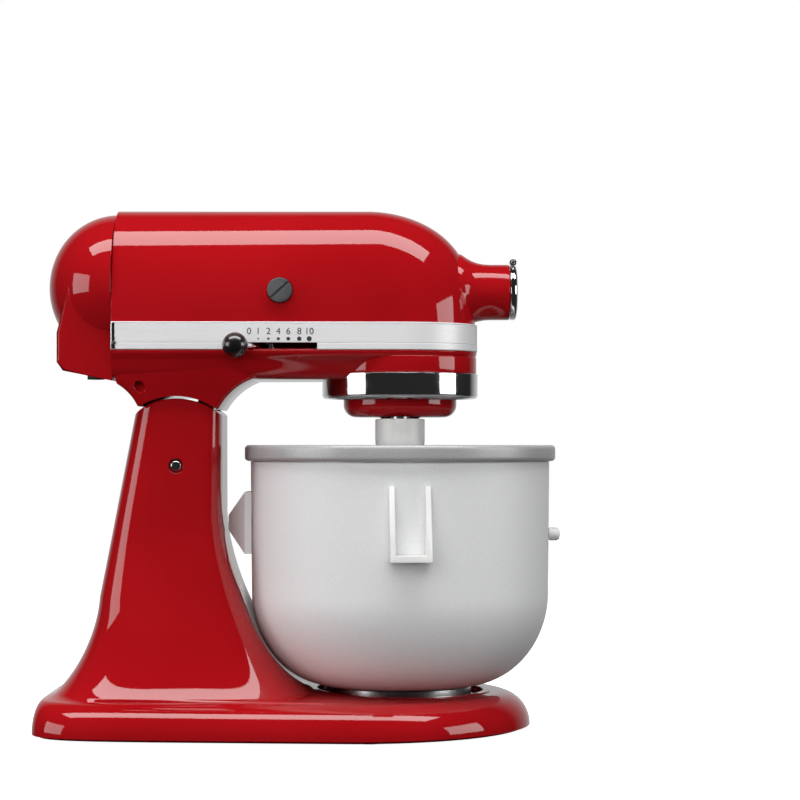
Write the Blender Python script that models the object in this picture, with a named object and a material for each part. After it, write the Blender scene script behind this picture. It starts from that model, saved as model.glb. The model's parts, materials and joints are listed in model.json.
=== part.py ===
"""Tilt-head stand mixer with an insulated freeze bowl and dasher for churning ice cream.

Everything is laid out from the bowl axis: X points to the attachment hub, Y across the machine,
Z up from the underside of the feet. The assembly empty then moves the bowl axis so that the
machine's footprint is centred on the origin. Lengths are in metres.
"""
import math

import bmesh
import bpy
from mathutils import Matrix, Vector

MM = 0.001

# Clearances
TOUCH = 0.3 * MM          # between two pieces that rest on each other
RUNNING = 0.5 * MM        # round a turning shaft
SWING = 1.5 * MM          # between the column's crown and the neck that swings over it

# Base and column, one casting
BASE_FRONT = 89 * MM      # from the bowl axis to the front edge
BASE_REAR = 244 * MM
BASE_MIDDLE = 30 * MM     # the widest place, behind the bowl axis
BASE_HALF = 115 * MM
BASE_DECK = 27 * MM       # height of the deck round the bowl
CAST_WALL = 4 * MM
FOOT_HEIGHT = 2.75 * MM   # light gap under the casting
FOOT_RADIUS = 11 * MM
FOOT_TOP = 6 * MM         # height where a foot meets its boss
REAR_FOOT_SHARE = 0.574   # a rear foot's place across, as a share of the half width
COLUMN_HALF = 42 * MM
COLUMN_STRAIGHT = 147 * MM
SWEEP_LOW = 20 * MM       # where the column's flanks run out into the base
SWEEP_FRONT = 41 * MM
SWEEP_SIDE = 52 * MM
SWEEP_POWER = 1.6
SCOOP_GAP = 6 * MM        # between the bowl and the casting behind it

# Freeze bowl
BOWL_RADIUS = 102.3 * MM
BOWL_WALL = 2 * MM
BOWL_LOW = 29 * MM
BOWL_FOOT_EDGE = 46 * MM
BOWL_BEND = 92 * MM       # height where the wall starts to curve in
RIM_RADIUS = BOWL_RADIUS + 4.1 * MM
RIM_LOW = 182 * MM
RIM_TOP = 193 * MM
LINER_RADIUS = BOWL_RADIUS - 14.3 * MM
LINER_LOW = 42 * MM
LINER_BEND = LINER_LOW + 45 * MM
LINER_DRAFT = 1.5 * MM    # the liner is this much narrower where it bends than at its rim
STUD_REACH = BOWL_RADIUS + 7.6 * MM
BRACKET_REACH = BOWL_RADIUS + 19.7 * MM
REAR_BRACKET_REACH = BOWL_RADIUS + 15.1 * MM

# Bowl's foot and the clamp plate it turns into
FOOT_RING = 48.8 * MM
PLATE_RADIUS = FOOT_RING + 4.4 * MM
PLATE_WALL = 1.3 * MM
PLATE_FLOOR = 16 * MM
LIP_LOW = 20.6 * MM       # underside of the lip that holds the bowl's lugs down
PLATE_TOP = 22 * MM
RECESS_RADIUS = PLATE_RADIUS + 3.8 * MM
RECESS_FLOOR = 14 * MM
NOTCH_ANGLE = 45          # degrees, first of the clamp plate's three notches
BOWL_TWIST = 25           # degrees from locked to free
CLAMP_SCREW_CIRCLE = 30 * MM
CLAMP_SCREW_RADIUS = 2 * MM

# Dasher
DASHER_HALF = 2 * MM
DASHER_GAP = 2.5 * MM     # from the dasher's edge to the liner
DASHER_FRAME = 15 * MM
DASHER_TOP = 168 * MM

# Head hinge, in the column behind the bowl
COLUMN_FRONT = REAR_BRACKET_REACH + 2.8 * MM
HINGE_X = -COLUMN_FRONT - 29.8 * MM
HINGE_Z = 179 * MM
PIN_RADIUS = 4.6 * MM
CROWN_RADIUS = 45.2 * MM  # the column's top is round about the hinge

# Head
HEAD_TOP = 353 * MM
HEAD_HALF_FRONT = 53 * MM
HEAD_HALF_REAR = 57 * MM
HEAD_REAR = -192 * MM
HEAD_WALL = 3.5 * MM
BAND_LOW = 256.5 * MM
BAND_HEIGHT = 18.5 * MM
BAND_WALL = 1.2 * MM
SEAM = 258 * MM           # where the two shells meet, behind the band
HOUSING_INSET = BAND_WALL + TOUCH
DOME_FOOT = 270 * MM
SECTION_POWER = 2.3       # squareness of the housing's cross-section
RIDGE_SETBACK = 22 * MM    # the ridge starts to fall this far behind the bowl axis
NOSE_POWER = 2.7          # fullness of the nose, seen from the side
CASE_BOTTOM = 237 * MM
NECK_HALF = 42 * MM
LUG_HALF = 23 * MM        # the lug that hangs on the hinge pin, inside the column
HUB_Z = 297.7 * MM
HUB_RADIUS = 19 * MM
HUB_REACH = 74.9 * MM
HUB_BORE = 12.5 * MM
COVER_REAR = 239.7 * MM   # from the bowl axis to the back of the rear cover
COVER_WALL = 3 * MM
COVER_MIDDLE = 300 * MM
COVER_DROP = 50.5 * MM    # the cover's dome reaches this far below its middle
BULGE_DEPTH = 32.8 * MM
BULGE_HALF = 44 * MM
COVER_SCREW_Z = 259 * MM
GLAND_RADIUS = 6 * MM
GLAND_X = -211.5 * MM
GLAND_Y = 22 * MM
HUB_SCREW_X = 64 * MM
HUB_SCREW_RADIUS = 3.2 * MM
HUB_HINGE_X = HUB_REACH + 2.6 * MM
HUB_HINGE_Z = HUB_Z + HUB_RADIUS + 1.4 * MM
HUB_PIN_RADIUS = 1.1 * MM

# Speed lever's slot in the band
SLOT_REAR = -104.8 * MM
SLOT_FRONT = -55 * MM
SLOT_HEIGHT = 4.6 * MM
KNOB_RADIUS = 8.5 * MM
LEVER_SLANT = 10 * MM     # the slot runs on behind the band, where the lever leans forward
SPEED_TRAVEL = 40 * MM
LOCK_TRAVEL = 22 * MM
LOCK_X = HINGE_X + 32 * MM
LOCK_Z = CASE_BOTTOM + 6 * MM

# Drive
TOOTH_MODULE = 2 * MM     # pitch diameter per tooth of the spur gears
RING_TEETH = 38
PINION_TEETH = 12
CENTRE_TEETH = 34
IDLER_TEETH = 11
WHEEL_TEETH = 20
WORM_STARTS = 2
WORM_PITCH = 5 * MM
WORM_RADIUS = 5.5 * MM
BEVEL_CENTRE_TEETH = 20
BEVEL_HUB_TEETH = 12
BEVEL_MODULE = 2 * MM
SHAFT_RADIUS = 5 * MM
RING_LOW = 227 * MM
RING_HIGH = 234.5 * MM
RING_RADIUS = RING_TEETH * TOOTH_MODULE / 2
RING_OUTSIDE = RING_RADIUS + 8.85 * MM
PLANET_OFFSET = (RING_TEETH - PINION_TEETH) * TOOTH_MODULE / 2
GEAR_LOW = 258 * MM
GEAR_HIGH = 264 * MM
SOCKET_HALF = 4.8 * MM    # square socket of the attachment drive

# Motor
ARMATURE_Z = 296 * MM
ARMATURE_RADIUS = 22 * MM
CORE_HALF = 26 * MM
FIELD_X = -124 * MM
FIELD_HALF = 24 * MM
FIELD_RADIUS = ARMATURE_RADIUS + 16 * MM
AIR_GAP = 1.5 * MM
FRONT_BEARING_X = -61 * MM
REAR_BEARING_X = -174 * MM
BEARING_HALF = 3.5 * MM
BEARING_RADIUS = SHAFT_RADIUS + 6 * MM
COMMUTATOR_RADIUS = SHAFT_RADIUS + 6 * MM
BRUSH_X = -80 * MM
BRUSH_CAP_RADIUS = 8.25 * MM

# Planetary and what hangs from it
DRIP_RADIUS = HEAD_HALF_FRONT + 0.25 * MM
DRIP_LOW = 224.6 * MM
DRIP_TOP = 241.4 * MM
DRIP_WALL = 2 * MM
PLANET_RADIUS = 38.7 * MM
PLANET_LOW = 212 * MM
PLANET_TOP = 224 * MM
SLEEVE_RADIUS = SHAFT_RADIUS + 4 * MM
SPIGOT_RADIUS = SHAFT_RADIUS + 1 * MM
PLANET_PIN_RADIUS = 1.5 * MM
PLANET_PIN_Z = 229 * MM
BEATER_RADIUS = 6 * MM
BEATER_LOW = 194 * MM
BEATER_PIN_RADIUS = 1.8 * MM
BEATER_PIN_Z = 201 * MM
COLLAR_RADIUS = 17 * MM
COLLAR_LOW = 186 * MM

BOWL_X = (BASE_REAR - STUD_REACH) / 2

# Finish of each kind of piece: colour, roughness, metallic
FINISHES = {
    "enamel": ((0.48, 0.008, 0.014), 0.22, 0.0),
    "chrome": ((0.80, 0.80, 0.82), 0.08, 1.0),
    "steel": ((0.55, 0.55, 0.56), 0.30, 1.0),
    "band": ((0.76, 0.76, 0.77), 0.30, 1.0),
    "bowl": ((0.62, 0.62, 0.62), 0.35, 0.0),
    "white": ((0.83, 0.83, 0.81), 0.40, 0.0),
    "black": ((0.012, 0.012, 0.013), 0.15, 0.0),
    "slate": ((0.10, 0.11, 0.12), 0.40, 0.0),
    "rubber": ((0.03, 0.03, 0.03), 0.80, 0.0),
    "iron": ((0.20, 0.20, 0.21), 0.50, 0.8),
    "copper": ((0.72, 0.32, 0.16), 0.30, 1.0),
    "bronze": ((0.55, 0.36, 0.14), 0.35, 1.0),
    "carbon": ((0.05, 0.05, 0.05), 0.60, 0.0),
}


# ---------------------------------------------------------------- building blocks

def clear_scene():
    for old in list(bpy.data.objects):
        bpy.data.objects.remove(old, do_unlink=True)


def pivot(name, place=(0.0, 0.0, 0.0), parent=None):
    """An empty at a joint's axis. Its place is stated from the bowl axis."""
    empty = bpy.data.objects.new(name, None)
    bpy.context.scene.collection.objects.link(empty)
    empty["place"] = place
    if parent:
        empty.parent = parent
        empty.location = Vector(place) - Vector(parent["place"])
    return empty


def mesh_object(name, shape, parent):
    """Turn a bmesh into an object whose origin is its parent's axis."""
    bmesh.ops.remove_doubles(shape, verts=shape.verts, dist=1e-6)
    bmesh.ops.recalc_face_normals(shape, faces=shape.faces)
    bmesh.ops.translate(shape, vec=-Vector(parent["place"]), verts=shape.verts)
    mesh = bpy.data.meshes.new(name)
    shape.to_mesh(mesh)
    shape.free()
    mesh.shade_smooth()
    mesh.set_sharp_from_angle(angle=math.radians(35))
    piece = bpy.data.objects.new(name, mesh)
    bpy.context.scene.collection.objects.link(piece)
    piece.parent = parent
    return piece


def make(name, shape, finish, parent):
    """A finished piece with its own material."""
    piece = mesh_object(name, shape, parent)
    colour, roughness, metallic = FINISHES[finish]
    paint = bpy.data.materials.new(name + "_finish")
    paint.use_nodes = True
    shader = paint.node_tree.nodes["Principled BSDF"]
    shader.inputs["Base Color"].default_value = (*colour, 1.0)
    shader.inputs["Roughness"].default_value = roughness
    shader.inputs["Metallic"].default_value = metallic
    paint.diffuse_color = (*colour, 1.0)
    piece.data.materials.append(paint)
    return piece


def combine(piece, shape, operation):
    """Join a shape to a piece, or cut it away, with a hidden helper object."""
    count = len(piece.modifiers)
    helper = mesh_object(f"{piece.name}_{operation.lower()}_{count}", shape, piece.parent)
    helper.hide_render = True
    helper.display_type = "WIRE"
    step = piece.modifiers.new(helper.name, "BOOLEAN")
    step.operation = operation
    step.object = helper
    step.solver = "EXACT"


def join(piece, *shapes):
    for shape in shapes:
        combine(piece, shape, "UNION")


def cut(piece, *shapes):
    for shape in shapes:
        combine(piece, shape, "DIFFERENCE")


def loft(rings, caps=True):
    """Join closed rings of equal count, one after the other, and cap both ends."""
    shape = bmesh.new()
    grid = [[shape.verts.new(point) for point in ring] for ring in rings]
    count = len(grid[0])
    for low, high in zip(grid, grid[1:]):
        for i in range(count):
            j = (i + 1) % count
            shape.faces.new((low[i], low[j], high[j], high[i]))
    if caps:
        shape.faces.new(grid[0])
        shape.faces.new(grid[-1])
    return shape


def closed_loft(rings):
    """Join rings and lead the last back to the first, as the wall of a hollow casting."""
    return loft([*rings, rings[0]], caps=False)


def turned(profile, count, axis="Z", centre=(0.0, 0.0, 0.0), ring=False):
    """Turn (radius, height) points about an axis. A ring profile closes on itself."""
    shape = bmesh.new()
    points = [shape.verts.new((radius, 0.0, height)) for radius, height in profile]
    edges = [shape.edges.new(pair) for pair in zip(points, points[1:])]
    if ring:
        edges.append(shape.edges.new((points[-1], points[0])))
    bmesh.ops.spin(shape, geom=points + edges, cent=(0, 0, 0), axis=(0, 0, 1),
                   angle=2 * math.pi, steps=count, use_merge=True)
    bmesh.ops.remove_doubles(shape, verts=shape.verts, dist=1e-6)
    return turn_to(shape, axis, centre)


def turn_to(shape, axis, centre):
    """Lay a shape made along Z along another axis, and put it in its place."""
    turns = {
        "Z": Matrix.Identity(4),
        "X": Matrix.Rotation(math.pi / 2, 4, "Y"),
        "-X": Matrix.Rotation(-math.pi / 2, 4, "Y"),
        "Y": Matrix.Rotation(-math.pi / 2, 4, "X"),
        "-Y": Matrix.Rotation(math.pi / 2, 4, "X"),
    }
    bmesh.ops.transform(shape, matrix=Matrix.Translation(centre) @ turns[axis], verts=shape.verts)
    return shape


def disc(radius, low, high, count=24, axis="Z", centre=(0.0, 0.0, 0.0)):
    return turned([(0, low), (radius, low), (radius, high), (0, high)], count, axis, centre)


def tube(inner, outer, low, high, count=24, axis="Z", centre=(0.0, 0.0, 0.0)):
    profile = [(inner, low), (outer, low), (outer, high), (inner, high)]
    return turned(profile, count, axis, centre, ring=True)


def box(low, high):
    shape = bmesh.new()
    bmesh.ops.create_cube(shape, size=1.0)
    size = Vector(high) - Vector(low)
    middle = (Vector(high) + Vector(low)) / 2
    bmesh.ops.transform(shape, matrix=Matrix.Translation(middle) @ Matrix.Diagonal((*size, 1.0)),
                        verts=shape.verts)
    return shape


def spun_about_z(shape, angle):
    bmesh.ops.rotate(shape, cent=(0, 0, 0), matrix=Matrix.Rotation(angle, 3, "Z"), verts=shape.verts)
    return shape


def side_prism(outline, half, y=0.0):
    """Extrude an (x, z) outline across the machine."""
    near = [(px, y - half, pz) for px, pz in outline]
    far = [(px, y + half, pz) for px, pz in outline]
    return loft([near, far])


def arc(centre, radius, start, end, steps):
    """Points of an arc, angles in degrees."""
    points = []
    for i in range(steps + 1):
        angle = math.radians(start + (end - start) * i / steps)
        points.append((centre[0] + radius * math.cos(angle), centre[1] + radius * math.sin(angle)))
    return points


# ---------------------------------------------------------------- pedestal

def plan_ring(z, front, rear, half, front_power=2.0, rear_power=8.0, taper=0.13, count=32,
              middle=-BASE_MIDDLE):
    """Plan outline of the casting at one height: round in front, squarer behind."""
    points = []
    for i in range(count):
        angle = 2 * math.pi * i / count
        along, across = math.cos(angle), math.sin(angle)
        power = front_power if along >= 0 else rear_power
        u = abs(along) ** (2 / power)
        v = math.copysign(abs(across) ** (2 / power), across)
        if along >= 0:
            points.append((middle + (front - middle) * u, half * v, z))
        else:
            points.append((middle - (middle + rear) * u, half * v * (1 - taper * u), z))
    return points


def casting_levels(inset=0.0, drop=0.0):
    """Outlines of the casting from its bottom edge to above the column's crown."""
    rings = []
    edge_radius = 21 * MM
    edge_steps = 3
    for i in range(edge_steps + 1):
        angle = math.radians(90 * i / edge_steps)
        pull = edge_radius * (1 - math.cos(angle))
        z = FOOT_HEIGHT + (BASE_DECK - 2.2 * MM - FOOT_HEIGHT) * math.sin(angle)
        rings.append(plan_ring(z - drop, BASE_FRONT - pull - inset, BASE_REAR - pull * 0.35 - inset,
                               BASE_HALF - pull - inset))
    for z in (27 * MM, 33 * MM, 42 * MM, 56 * MM, 76 * MM, 105 * MM, COLUMN_STRAIGHT):
        near = sweep((z - SWEEP_LOW) / (COLUMN_STRAIGHT - SWEEP_LOW))
        front = -COLUMN_FRONT + (COLUMN_FRONT - SWEEP_FRONT) * near
        half = COLUMN_HALF + 3 * MM + SWEEP_SIDE * near
        rear = column_rear(z)
        middle = (front - rear) / 2
        squareness = 4.0 - 1.5 * near
        ring = plan_ring(z - drop, front - inset, rear - inset, half - inset, squareness,
                         4.0, 0.05 * near, middle=middle)
        rings.append(scooped(ring, bowl_radius(z) + SCOOP_GAP + inset))
    top = HINGE_Z + CROWN_RADIUS + 8 * MM
    rings.append(plan_ring(top - drop, -COLUMN_FRONT - inset, column_rear(top) - inset,
                           COLUMN_HALF - 1 * MM - inset, 4.0, 4.0, 0.0,
                           middle=-(COLUMN_FRONT + column_rear(top)) / 2))
    return rings


def bowl_radius(z):
    """Radius of the freeze bowl's wall at one height, or of its foot below it."""
    if z <= BOWL_LOW:
        return FOOT_RING
    bent = min((BOWL_BEND - z) / (BOWL_BEND - BOWL_LOW), 1.0) if z < BOWL_BEND else 0.0
    return BOWL_FOOT_EDGE + (BOWL_RADIUS - BOWL_FOOT_EDGE) * math.sqrt(1 - bent * bent)


def scooped(ring, radius):
    """Push the front of an outline back, so that it stays clear of the bowl all round."""
    points = []
    for x, y, z in ring:
        if abs(y) < radius:
            x = min(x, -math.sqrt(radius * radius - y * y))
        points.append((x, y, z))
    return points


def sweep(height):
    """How far a flank has still spread, from 1 at its foot to 0 where the column stands straight."""
    height = min(height, 1.0)
    return 1 - (1 - (1 - height) ** SWEEP_POWER) ** (1 / SWEEP_POWER)


def column_rear(z):
    """Distance of the column's back from the bowl axis: it leans forward above the rear sweep."""
    heel = 90 * MM
    lean = 0.1924
    spread = sweep((z - SWEEP_LOW) / (heel - SWEEP_LOW))
    return 203.7 * MM - lean * max(z - heel, 0.0) + 42 * MM * spread


def foot_places():
    """One foot behind the column's heel on each side, two beside the bowl, one in front."""
    rear, rear_side = -(BASE_REAR - 29 * MM), BASE_HALF * REAR_FOOT_SHARE
    middle, side = -BASE_MIDDLE + 10 * MM, BASE_HALF - 23 * MM
    return [(rear, -rear_side), (rear, rear_side), (middle, -side), (middle, side),
            (BASE_FRONT - 21 * MM, 0.0)]


def make_pedestal(fixed):
    outer = casting_levels()
    inner = casting_levels(CAST_WALL, CAST_WALL)
    inner[0] = [(x, y, FOOT_HEIGHT) for x, y, z in inner[0]]
    casting = make("pedestal", closed_loft(outer + inner[::-1]), "enamel", fixed)
    join(casting, disc(RECESS_RADIUS + 5 * MM, RECESS_FLOOR - CAST_WALL, BASE_DECK - 1.5 * MM, 40))
    for x, y in foot_places():
        join(casting, disc(FOOT_RADIUS, FOOT_TOP, BASE_DECK - 6 * MM, 16, centre=(x, y, 0)))
    cut(casting, disc(RECESS_RADIUS, RECESS_FLOOR, 90 * MM, 48))
    above = HINGE_Z + 80 * MM
    crown = arc((HINGE_X, HINGE_Z), CROWN_RADIUS, 150, 30, 14)
    reach = 60 * MM
    outline = [(HINGE_X - reach, crown[0][1]), *crown, (HINGE_X + reach, crown[-1][1]),
               (HINGE_X + reach, above), (HINGE_X - reach, above)]
    cut(casting, side_prism(outline, 70 * MM))
    bore = PIN_RADIUS + TOUCH
    cut(casting, disc(bore, -70 * MM, 70 * MM, 16, "Y", (HINGE_X, 0, HINGE_Z)))
    for x, y in screw_places():
        cut(casting, disc(CLAMP_SCREW_RADIUS + TOUCH, 0, BASE_DECK, 12, centre=(x, y, 0)))


def screw_places():
    """The three screws that hold the clamp plate, on a circle about the bowl axis."""
    angles = [math.radians(29 + 120 * turn) for turn in range(3)]
    return [(CLAMP_SCREW_CIRCLE * math.cos(a), CLAMP_SCREW_CIRCLE * math.sin(a)) for a in angles]


def make_base_fittings(fixed):
    for number, (x, y) in enumerate(foot_places(), 1):
        profile = [(0, 0), (FOOT_RADIUS - 1 * MM, 0), (FOOT_RADIUS, 1 * MM),
                   (FOOT_RADIUS, FOOT_TOP - TOUCH), (0, FOOT_TOP - TOUCH)]
        make(f"rubber_foot_{number}", turned(profile, 14, centre=(x, y, 0)), "rubber", fixed)
    floor = RECESS_FLOOR + TOUCH
    lip_in = FOOT_RING + 1.2 * MM
    wall_in = PLATE_RADIUS - PLATE_WALL
    profile = [(0, floor), (PLATE_RADIUS, floor), (PLATE_RADIUS, PLATE_TOP), (lip_in, PLATE_TOP),
               (lip_in, LIP_LOW), (wall_in, LIP_LOW), (wall_in, PLATE_FLOOR), (0, PLATE_FLOOR)]
    plate = make("bowl_clamp_plate", turned(profile, 36), "chrome", fixed)
    for turn in range(3):
        gap = box((FOOT_RING - 3 * MM, -14 * MM, PLATE_FLOOR + 2 * MM),
                  (wall_in, 14 * MM, PLATE_TOP + 8 * MM))
        cut(plate, spun_about_z(gap, math.radians(120 * turn + NOTCH_ANGLE)))
    for x, y in screw_places():
        cut(plate, disc(CLAMP_SCREW_RADIUS + TOUCH, 0, BASE_DECK, 12, centre=(x, y, 0)))
    for number, (x, y) in enumerate(screw_places(), 1):
        end, head, shank = 6 * MM, PLATE_FLOOR + TOUCH, CLAMP_SCREW_RADIUS
        profile = [(0, end), (shank, end), (shank, head), (shank + 1.6 * MM, head),
                   (shank + 1.2 * MM, head + 1.2 * MM), (0, head + 1.6 * MM)]
        make(f"clamp_screw_{number}", turned(profile, 12, centre=(x, y, 0)), "steel", fixed)
    half = COLUMN_HALF + 1.6 * MM
    profile = [(0, -half), (PIN_RADIUS - 1.4 * MM, -half), (PIN_RADIUS, -half + 2 * MM),
               (PIN_RADIUS, half - 2 * MM), (PIN_RADIUS - 1.4 * MM, half), (0, half)]
    make("hinge_pin", turned(profile, 20, "Y", (HINGE_X, 0, HINGE_Z)), "chrome", fixed)


# ---------------------------------------------------------------- head shells

def head_outline(z, squeeze=1.0, nose_squeeze=1.0, inset=0.0, setback=0.0):
    """Plan of the head at one height, from the rear on one side, round the nose, to the other.

    Squeeze narrows it, nose_squeeze shortens the nose, and setback moves the nose's start back.
    """
    sides, nose = 2, 12
    start = -setback
    front = HEAD_HALF_FRONT - inset
    wide = max(front * squeeze, 0.0)
    rear_wide = max((HEAD_HALF_REAR - inset) * squeeze, 0.0)
    near = []
    for i in range(sides):
        t = i / sides
        near.append((HEAD_REAR + (start - HEAD_REAR) * t, -(rear_wide + (wide - rear_wide) * t), z))
    tip = []
    for k in range(nose + 1):
        angle = -math.pi / 2 + math.pi * k / nose
        reach = (front + setback) * nose_squeeze
        tip.append((start + reach * math.cos(angle), wide * math.sin(angle), z))
    far = [(x, -y, zz) for x, y, zz in reversed(near)]
    return near + tip + far


def channel(outer, inner):
    """A shell that is open at its rim and at the rear. Each skin runs from the rim to a ridge."""
    shape = bmesh.new()
    skins = []
    for rows in (outer, inner):
        grid = [[shape.verts.new(point) for point in row] for row in rows]
        for one, two in zip(grid, grid[1:]):
            for i in range(len(one) - 1):
                shape.faces.new((one[i], one[i + 1], two[i + 1], two[i]))
        skins.append(grid)
    outer_grid, inner_grid = skins
    for i in range(len(outer_grid[0]) - 1):
        shape.faces.new((outer_grid[0][i], outer_grid[0][i + 1], inner_grid[0][i + 1], inner_grid[0][i]))
    rear = [row[0] for row in outer_grid] + [row[-1] for row in outer_grid[-2::-1]]
    rear += [row[-1] for row in inner_grid] + [row[0] for row in inner_grid[-2::-1]]
    shape.faces.new(rear)
    return shape


def housing_rows(inset):
    """Rows of the upper housing from its bottom edge up to the ridge along its top."""
    rows = [head_outline(SEAM, inset=inset + HOUSING_INSET)]
    steps = 7
    rise = HEAD_TOP - DOME_FOOT - inset
    for k in range(steps + 1):
        angle = math.radians(90 * k / steps)
        squeeze = max(math.cos(angle), 0.0) ** (2 / SECTION_POWER) if k < steps else 0.0
        lift = math.sin(angle) ** (2 / SECTION_POWER)
        nose = math.sqrt(max(1 - lift ** NOSE_POWER, 0.0)) if k < steps else 0.0
        rows.append(head_outline(DOME_FOOT + rise * lift, squeeze, nose, inset + HOUSING_INSET,
                                 RIDGE_SETBACK * lift))
    return rows


def slot_cutter(low, high, more=0.0):
    """The speed lever's slot, through whatever wall stands on the near side."""
    return box((SLOT_REAR, -HEAD_HALF_REAR - 10 * MM, low), (SLOT_FRONT + more, -30 * MM, high))


def lock_slot_cutter():
    return box((LOCK_X - 5 * MM, 30 * MM, LOCK_Z - 4 * MM),
               (LOCK_X + LOCK_TRAVEL + 5 * MM, 70 * MM, LOCK_Z + 4 * MM))


def make_upper_housing(head):
    shell = make("upper_housing", channel(housing_rows(0.0), housing_rows(HEAD_WALL)), "enamel", head)
    join(shell, disc(HUB_RADIUS, 34 * MM, HUB_REACH, 28, "X", (0, 0, HUB_Z)))
    cut(shell, disc(HUB_BORE, 20 * MM, 100 * MM, 24, "X", (0, 0, HUB_Z)))
    for side in ("Y", "-Y"):
        cut(shell, disc(BRUSH_CAP_RADIUS + TOUCH, 30 * MM, 80 * MM, 24, side, (BRUSH_X, 0, ARMATURE_Z)))
    cut(shell, slot_cutter(250 * MM, BAND_LOW + SLOT_HEIGHT, LEVER_SLANT))
    cut(shell, disc(HUB_SCREW_RADIUS + TOUCH, HUB_BORE - 5 * MM, 40 * MM, 16, "Y",
                    (HUB_SCREW_X, 0, HUB_Z)))


def case_rows(inset):
    """Rows of the lower gearcase from its top edge down to the flat underside."""
    flush = TOUCH
    if inset == 0.0:
        levels = [(SEAM - TOUCH, HOUSING_INSET), (BAND_LOW - TOUCH, HOUSING_INSET),
                  (BAND_LOW - TOUCH, flush), (251.5 * MM, flush), (249 * MM, 3 * MM),
                  (245 * MM, 9 * MM), (240 * MM, 12.5 * MM), (238 * MM, 15 * MM),
                  (CASE_BOTTOM, 20 * MM)]
        floor = CASE_BOTTOM
    else:
        levels = [(SEAM - TOUCH, HOUSING_INSET + inset), (250 * MM, HOUSING_INSET + inset + 1 * MM),
                  (245 * MM, 9 * MM + inset), (CASE_BOTTOM + inset, 18 * MM + inset)]
        floor = CASE_BOTTOM + inset
    rows = [head_outline(z, inset=pull) for z, pull in levels]
    rows.append(head_outline(floor, squeeze=0.0, nose_squeeze=0.0))
    return rows


def neck_outline():
    """Side view of the neck: it flares up from the crown of the column into the case."""
    under = CROWN_RADIUS + SWING
    top = CASE_BOTTOM + 3 * MM
    rear = arc((HINGE_X - 55.5 * MM, 205.7 * MM), 32.5 * MM, 61, 24, 5)
    front = arc((HINGE_X + 66.7 * MM, 196.5 * MM), 43.5 * MM, 151.5, 100, 6)
    seam = arc((HINGE_X, HINGE_Z), under, 121.5, 54, 14)
    return [(HEAD_REAR + 1 * MM, top), *rear, *seam, *front, (HINGE_X + 62 * MM, top)]


def neck_block():
    """The neck, drawn in slightly at its lower end on both sides."""
    outline = neck_outline()
    edge = 5 * MM
    middle_x = sum(x for x, z in outline) / len(outline)
    rings = []
    for y, pull in ((-NECK_HALF, edge), (-NECK_HALF + edge * 0.4, edge * 0.3), (-NECK_HALF + edge, 0.0),
                    (NECK_HALF - edge, 0.0), (NECK_HALF - edge * 0.4, edge * 0.3), (NECK_HALF, edge)):
        ring = []
        for x, z in outline:
            on_seam = abs(math.hypot(x - HINGE_X, z - HINGE_Z) - CROWN_RADIUS - SWING) < 1e-6
            shift = 0.0 if on_seam or z > CASE_BOTTOM else math.copysign(pull, middle_x - x)
            ring.append((x + shift, y, z))
        rings.append(ring)
    return loft(rings)


def lug_outline():
    """The lug that hangs inside the column and holds the hinge pin."""
    boss = 11 * MM
    reach = CROWN_RADIUS + SWING + 6 * MM
    left, right = math.radians(15.5), math.radians(30)
    boss_arc = arc((HINGE_X, HINGE_Z), boss, 170, 370, 12)
    top_right = (HINGE_X + reach * math.sin(right), HINGE_Z + reach * math.cos(right))
    top_left = (HINGE_X + reach * math.sin(left), HINGE_Z + reach * math.cos(left))
    return [*boss_arc, top_right, top_left]


def motor_saddle():
    """Two webs on the case floor that carry the field."""
    low = CASE_BOTTOM + HEAD_WALL - 1 * MM
    return [box((x - 4 * MM, -26 * MM, low), (x + 4 * MM, 26 * MM, low + 34 * MM))
            for x in (FIELD_X - 16 * MM, FIELD_X + 16 * MM)]


def make_lower_gearcase(head):
    case = make("lower_gearcase", channel(case_rows(0.0), case_rows(HEAD_WALL)), "enamel", head)
    join(case, neck_block())
    join(case, side_prism(lug_outline(), LUG_HALF))
    make_nose_drum(case)
    for x in (FRONT_BEARING_X, REAR_BEARING_X):
        plate = box((x - BEARING_HALF, -20 * MM, CASE_BOTTOM + 2 * MM),
                    (x + BEARING_HALF, 20 * MM, ARMATURE_Z + 16 * MM))
        join(case, plate)
        cut(case, disc(BEARING_RADIUS + TOUCH, x - 10 * MM, x + 10 * MM, 20, "X", (0, 0, ARMATURE_Z)))
    for web in motor_saddle():
        join(case, web)
    cut(case, disc(FIELD_RADIUS + TOUCH, FIELD_X - 30 * MM, FIELD_X + 30 * MM, 28, "X",
                   (0, 0, ARMATURE_Z)))
    cut(case, disc(SHAFT_RADIUS + RUNNING, 200 * MM, 280 * MM, 20))
    upright_x, upright_y = upright_place()
    cut(case, disc(SHAFT_RADIUS - 1 * MM + RUNNING, 243 * MM, 280 * MM, 16,
                   centre=(upright_x, upright_y, 0)))
    cut(case, disc(PIN_RADIUS + TOUCH, -60 * MM, 60 * MM, 20, "Y", (HINGE_X, 0, HINGE_Z)))
    cut(case, slot_cutter(BAND_LOW + 0.5 * MM, 280 * MM, LEVER_SLANT))
    cut(case, lock_slot_cutter())


def make_nose_drum(case):
    """The round nose of the case, with the step that the drip ring sits round."""
    drum = HEAD_HALF_FRONT - 2 * TOUCH
    step = DRIP_RADIUS - DRIP_WALL - TOUCH
    floor = DRIP_TOP + TOUCH
    join(case, tube(34 * MM, drum, floor, BAND_LOW - 4.2 * MM, 40))
    join(case, disc(drum - 1 * MM, floor + 0.1 * MM, floor + HEAD_WALL, 36))
    cut(case, tube(step - 1 * MM, DRIP_RADIUS + 3 * MM, DRIP_LOW - 5 * MM, floor, 44))
    join(case, disc(step, RING_HIGH + TOUCH, floor + HEAD_WALL / 2, 36))


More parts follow.
